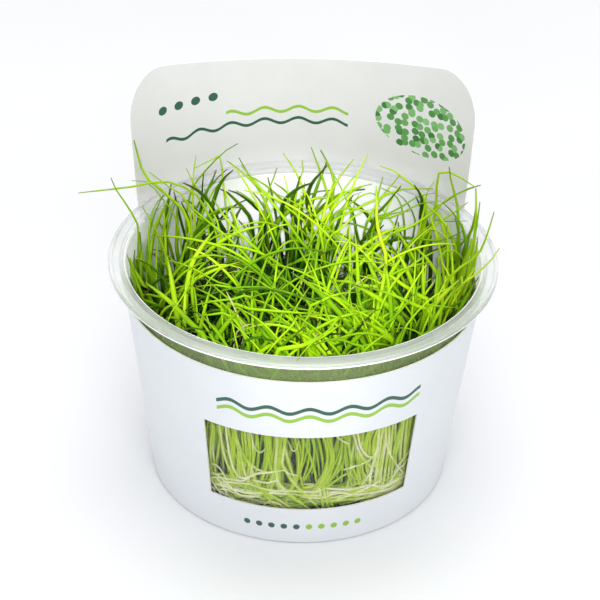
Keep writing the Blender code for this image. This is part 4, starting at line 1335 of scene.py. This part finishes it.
class HairgrassLeafSettings(bpy.types.PropertyGroup):
    """How many leaves grow, and their finish."""

    tufts: bpy.props.IntProperty(
        name="Tufts", description="Tufts that stand close together on the mat", default=70, min=1, max=400)
    arching: bpy.props.IntProperty(
        name="Arching", description="Long leaves that bow over and cross on top", default=300, min=0, max=800)
    by_wall: bpy.props.IntProperty(
        name="By the wall", description="Stems against the front wall", default=540, min=0, max=800)
    gloss: bpy.props.FloatProperty(
        name="Skin roughness", description="Roughness of a leaf's skin", default=0.34, min=0.1, max=0.9,
        subtype="FACTOR")
    seed: bpy.props.IntProperty(name="Seed", description="Seed of the leaves' places", default=7, min=0)


class HairgrassStageSettings(bpy.types.PropertyGroup):
    """Light and view."""

    sky: bpy.props.FloatProperty(
        name="Sky", description="Strength of the even white light", default=0.69, min=0.0, max=3.0)
    key: bpy.props.FloatProperty(
        name="Key light", description="Power of the large light before the cup",
        default=3.2, min=0.0, max=50.0, unit="POWER")
    overhead: bpy.props.FloatProperty(
        name="Overhead light", description="Power of the large light above the cup",
        default=3.2, min=0.0, max=50.0, unit="POWER")
    accent: bpy.props.FloatProperty(
        name="Accent light", description="Power of the narrow light on the leaves and the tab",
        default=15.6, min=0.0, max=200.0, unit="POWER")
    inner: bpy.props.FloatProperty(
        name="Inner light", description="Power of the narrow light on the cup's inner back wall",
        default=11.0, min=0.0, max=300.0, unit="POWER")
    front: bpy.props.FloatProperty(
        name="Front light", description="Power of the narrow light on the sleeve's front",
        default=2.5, min=0.0, max=50.0, unit="POWER")
    lens: bpy.props.FloatProperty(
        name="Lens", description="Focal length on a sensor 36 mm wide",
        default=CAMERA_LENS, min=20.0, max=300.0)


class HAIRGRASS_OT_cup(bpy.types.Operator):
    """Make the clear cup"""

    bl_idname = "hairgrass.cup"
    bl_label = "Clear cup"

    def execute(self, context):
        settings = context.scene.hairgrass_cup
        mesh = turned_mesh("clear_cup", rounded(cup_profile(), CORNER_REACH), settings.sides)
        for material in cup_materials(settings):
            mesh.materials.append(material)
        for face in mesh.polygons:
            face.material_index = plastic_at(face.center)
        new_piece("clear_cup", mesh, ["cup"])
        return {"FINISHED"}


class HAIRGRASS_OT_sleeve(bpy.types.Operator):
    """Make the card sleeve with its window, tab and print"""

    bl_idname = "hairgrass.sleeve"
    bl_label = "Card sleeve"

    def execute(self, context):
        settings = context.scene.hairgrass_card
        sheet = card_sheet()
        for material in (wrap_card(settings), tab_card(settings), cut_edge()):
            sheet.materials.append(material)
        sheet.shade_smooth()
        blank = bpy.data.objects.new("sleeve_blank", sheet)
        context.scene.collection.objects.link(blank)
        thicken = blank.modifiers.new("Card thickness", "SOLIDIFY")
        thicken.thickness = CARD
        thicken.offset = 1.0
        thicken.use_even_offset = True
        thicken.material_offset = 1
        thicken.material_offset_rim = 2
        mesh = plain_mesh("card_sleeve", blank)
        mesh.set_sharp_from_angle(angle=math.radians(35.0))
        new_piece("card_sleeve", mesh, ["sleeve"])
        return {"FINISHED"}


class HAIRGRASS_OT_mat(bpy.types.Operator):
    """Make the root mat, its felt and the fine roots round it"""

    bl_idname = "hairgrass.mat"
    bl_label = "Root mat"

    def execute(self, context):
        low = FLOOR + GAP
        profile = [(0.0, low), (cup_inside(low) - HEEL - FELT_SLACK, low),
                   (cup_inside(FLOOR + HEEL) - GAP - FELT_SLACK, FLOOR + HEEL + GAP)]
        for height in (6 * MM, 9 * MM, 12 * MM, 13.4 * MM):
            profile.append((cup_inside(height) - GAP - FELT_SLACK, height))
        for share in (0.97, 0.9, 0.8, 0.65, 0.5, 0.35, 0.2, 0.1, 0.0):
            profile.append((share * FELT_RADIUS, MAT_TOP))
        mesh = turned_mesh("root_felt", profile, FELT_SIDES)
        rng = np.random.default_rng(MAT_SEED)
        for vertex in mesh.vertices:
            if vertex.co.z > 3 * MM:
                vertex.co.z += rng.uniform(-0.6, 0.5) * MAT_LUMP
                vertex.co.xy *= 1.0 + rng.uniform(-0.008, 0.008)
        mesh.materials.append(root_felt())
        new_piece("root_felt", mesh, ["root_mat"])

        threads = Paths()
        share = np.linspace(0.0, 1.0, 11)
        for number in range(FINE_ROOTS):
            start = rng.uniform(-180.0, 180.0) if number % 3 == 0 else rng.uniform(-50.0, 55.0)
            sweep = rng.normal(0.0, 16.0)
            wave = rng.uniform(0.3, 1.4) * MM
            height = rng.uniform(4.0, 15.0) * MM
            height = height + wave * np.sin(share * rng.uniform(3.0, 11.0) + rng.uniform(0.0, 6.0))
            height = height + rng.normal(0.0, 2.0) * MM * share
            height = np.clip(height, 3.4 * MM, 17.5 * MM)
            radius = rng.uniform(0.07, 0.14) * MM
            turns = np.radians(start + sweep * share + 1.2 * np.sin(share * rng.uniform(4.0, 12.0)))
            out = cup_inside(height) - rng.uniform(0.2, 0.75) * MM - radius
            threads.add(along_wall(turns, out, height), radius, rng.uniform(0.0, 0.25))
        new_piece("fine_roots", swept_mesh("fine_roots", threads, runner_skin(), sides=4))
        return {"FINISHED"}


class HAIRGRASS_OT_runners(bpy.types.Operator):
    """Lay the creeping stems along the front wall"""

    bl_idname = "hairgrass.runners"
    bl_label = "Runners"

    def execute(self, context):
        material = runner_skin()
        rng = np.random.default_rng(RUNNER_SEED)
        share = np.linspace(0.0, 1.0, 40)
        for number in range(1, RUNNERS + 1):
            low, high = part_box(f"runner_{number}")
            ends = sorted((math.atan2(x, -y) for x in (low.x, high.x) for y in (low.y, high.y)))
            turns = ends[0] + (ends[-1] - ends[0]) * share
            height = 0.5 * (low.z + high.z) + 0.5 * MM * np.sin(9.0 * share + number)
            out = cup_inside(height) - 1.1 * MM - 0.25 * MM * (1.0 + np.sin(7.0 * share + 2 * number))
            joints = np.exp(-((np.mod(share * 5.0 + 0.3 * number, 1.0) - 0.5) / 0.07) ** 2)
            stem = Paths()
            stem.add(along_wall(turns, out, height), (0.42 + 0.16 * joints) * MM,
                     0.1 + 0.75 * joints * rng.uniform(0.5, 1.0))
            mesh = swept_mesh(f"creeping_stem_{number}", stem, material, sides=10)
            new_piece(f"creeping_stem_{number}", mesh, [f"runner_{number}"])
        return {"FINISHED"}


class HAIRGRASS_OT_leaves(bpy.types.Operator):
    """Grow the leaves, in six pieces round the cup"""

    bl_idname = "hairgrass.leaves"
    bl_label = "Leaves"

    def execute(self, context):
        settings = context.scene.hairgrass_leaves
        rng = np.random.default_rng(settings.seed)
        groups = Sectors()
        grow_tufts(rng, settings, groups)
        grow_arching(rng, settings, groups)
        grow_bold(rng, groups)
        grow_tall(rng, groups)
        grow_long(rng, groups)
        grow_wall(rng, settings, groups)
        grow_lying(rng, groups)
        grow_brown(rng, groups)
        material = leaf_green(settings)
        for sector, (name, paths) in enumerate(zip(SECTORS, groups.parts)):
            mesh = swept_mesh(f"leaves_{name}", paths, material)
            new_piece(f"leaves_{name}", mesh, tuft_nodes(sector))
        return {"FINISHED"}


def lay_floor(scene):
    """Lay a wide sheet of white photo paper: matt, with a very faint mottle."""
    mesh = bpy.data.meshes.new("floor")
    half = FLOOR_HALF_WIDTH
    corners = [(-half, -half, 0.0), (half, -half, 0.0), (half, half, 0.0), (-half, half, 0.0)]
    mesh.from_pydata(corners, [], [(0, 1, 2, 3)])
    mesh.materials.append(new_material("white photo paper", 12.0, stops=((0.3, "#EDEEF0"), (0.7, "#F0F1F3")),
                                       values={"Roughness": 0.9, "Specular IOR Level": 0.1})[0])
    floor = bpy.data.objects.new("floor", mesh)
    scene.collection.objects.link(floor)


def aimed_light(scene, name, kind, place, goal, **settings):
    """Add a light that points at a goal, and return the light's object."""
    light = bpy.data.lights.new(name + " light", kind)
    for field, value in settings.items():
        setattr(light, field, value)
    lamp = bpy.data.objects.new(light.name, light)
    scene.collection.objects.link(lamp)
    lamp.location = place
    lamp.rotation_euler = (Vector(goal) - Vector(place)).to_track_quat("-Z", "Y").to_euler()
    return lamp


def light_only(spot, pieces):
    """Let a light fall on some pieces alone, with no glint of the lamp in them."""
    lit = bpy.data.collections.new("lit by the " + spot.name)
    for piece in pieces:
        lit.objects.link(piece)
    spot.light_linking.receiver_collection = lit
    spot.visible_glossy = False


def aim_camera(scene, lens):
    """Set the camera at the place and angle fitted to the cup's circles."""
    right, top, ahead = camera_axes()
    data = bpy.data.cameras.new("camera")
    data.lens = lens
    data.sensor_width = SENSOR_WIDTH
    camera = bpy.data.objects.new("camera", data)
    scene.collection.objects.link(camera)
    turn = Matrix((right, top, -ahead)).transposed().to_4x4()
    camera.matrix_world = Matrix.Translation(CAMERA_PLACE) @ turn
    scene.camera = camera


class HAIRGRASS_OT_stage(bpy.types.Operator):
    """Set the floor, the lights and the camera"""

    bl_idname = "hairgrass.stage"
    bl_label = "Stage"

    def execute(self, context):
        settings = context.scene.hairgrass_stage
        scene = context.scene
        scene.view_settings.view_transform = "Standard"
        lay_floor(scene)

        world = bpy.data.worlds.new("soft white studio")
        world.use_nodes = True
        scene.world = world
        fill(world.node_tree, world.node_tree.nodes["Background"],
             {"Color": srgb("#FFFFFF"), "Strength": settings.sky})

        for name, place, width in SOFT_LIGHTS:
            aimed_light(scene, name, "AREA", place, LIT_MIDDLE, shape="DISK", size=width,
                        energy=getattr(settings, name))

        # The inner light leaves the sleeve out, and the front light falls on the sleeve alone
        pieces = [piece for piece in scene.collection.all_objects if piece.type == "MESH"]
        sleeves = [piece for piece in pieces if "sleeve" in piece.name]
        lit = {"inner": [piece for piece in pieces if piece not in sleeves], "front": sleeves}
        for name, place, goal, spread, blend, radius in BEAMS:
            beam = aimed_light(scene, name, "SPOT", place, goal, energy=getattr(settings, name),
                               spot_size=math.radians(spread), spot_blend=blend, shadow_soft_size=radius)
            beam.data.cycles.use_multiple_importance_sampling = False
            beam.visible_transmission = False
            if name in lit:
                light_only(beam, lit[name])

        aim_camera(scene, settings.lens)
        return {"FINISHED"}


OPERATORS = (HAIRGRASS_OT_cup, HAIRGRASS_OT_sleeve, HAIRGRASS_OT_mat, HAIRGRASS_OT_runners,
             HAIRGRASS_OT_leaves, HAIRGRASS_OT_stage)
SETTINGS = {
    "hairgrass_cup": HairgrassCupSettings,
    "hairgrass_card": HairgrassCardSettings,
    "hairgrass_leaves": HairgrassLeafSettings,
    "hairgrass_stage": HairgrassStageSettings,
}


class HAIRGRASS_PT_panel(bpy.types.Panel):
    """Settings and steps of the hairgrass cup"""

    bl_idname = "HAIRGRASS_PT_panel"
    bl_label = "Hairgrass cup"
    bl_space_type = "VIEW_3D"
    bl_region_type = "UI"
    bl_category = "Hairgrass"

    def draw(self, context):
        for name in SETTINGS:
            box = self.layout.box()
            group = getattr(context.scene, name)
            for field in group.bl_rna.properties:
                if field.identifier not in ("rna_type", "name"):
                    box.prop(group, field.identifier)
        for operator in OPERATORS:
            self.layout.operator(operator.bl_idname)


def register():
    """Register the settings, the operators and the panel."""
    for name, group in SETTINGS.items():
        bpy.utils.register_class(group)
        setattr(bpy.types.Scene, name, bpy.props.PointerProperty(type=group))
    for item in (*OPERATORS, HAIRGRASS_PT_panel):
        bpy.utils.register_class(item)


def unregister():
    """Undo what register does."""
    for item in reversed((*OPERATORS, HAIRGRASS_PT_panel)):
        bpy.utils.unregister_class(item)
    for name, group in SETTINGS.items():
        delattr(bpy.types.Scene, name)
        bpy.utils.unregister_class(group)


def main():
    """Make every piece and the stage."""
    register()
    bpy.ops.hairgrass.cup()
    bpy.ops.hairgrass.sleeve()
    bpy.ops.hairgrass.mat()
    bpy.ops.hairgrass.runners()
    bpy.ops.hairgrass.leaves()
    bpy.ops.hairgrass.stage()
    bpy.context.view_layer.update()


if __name__ == "__main__":
    main()
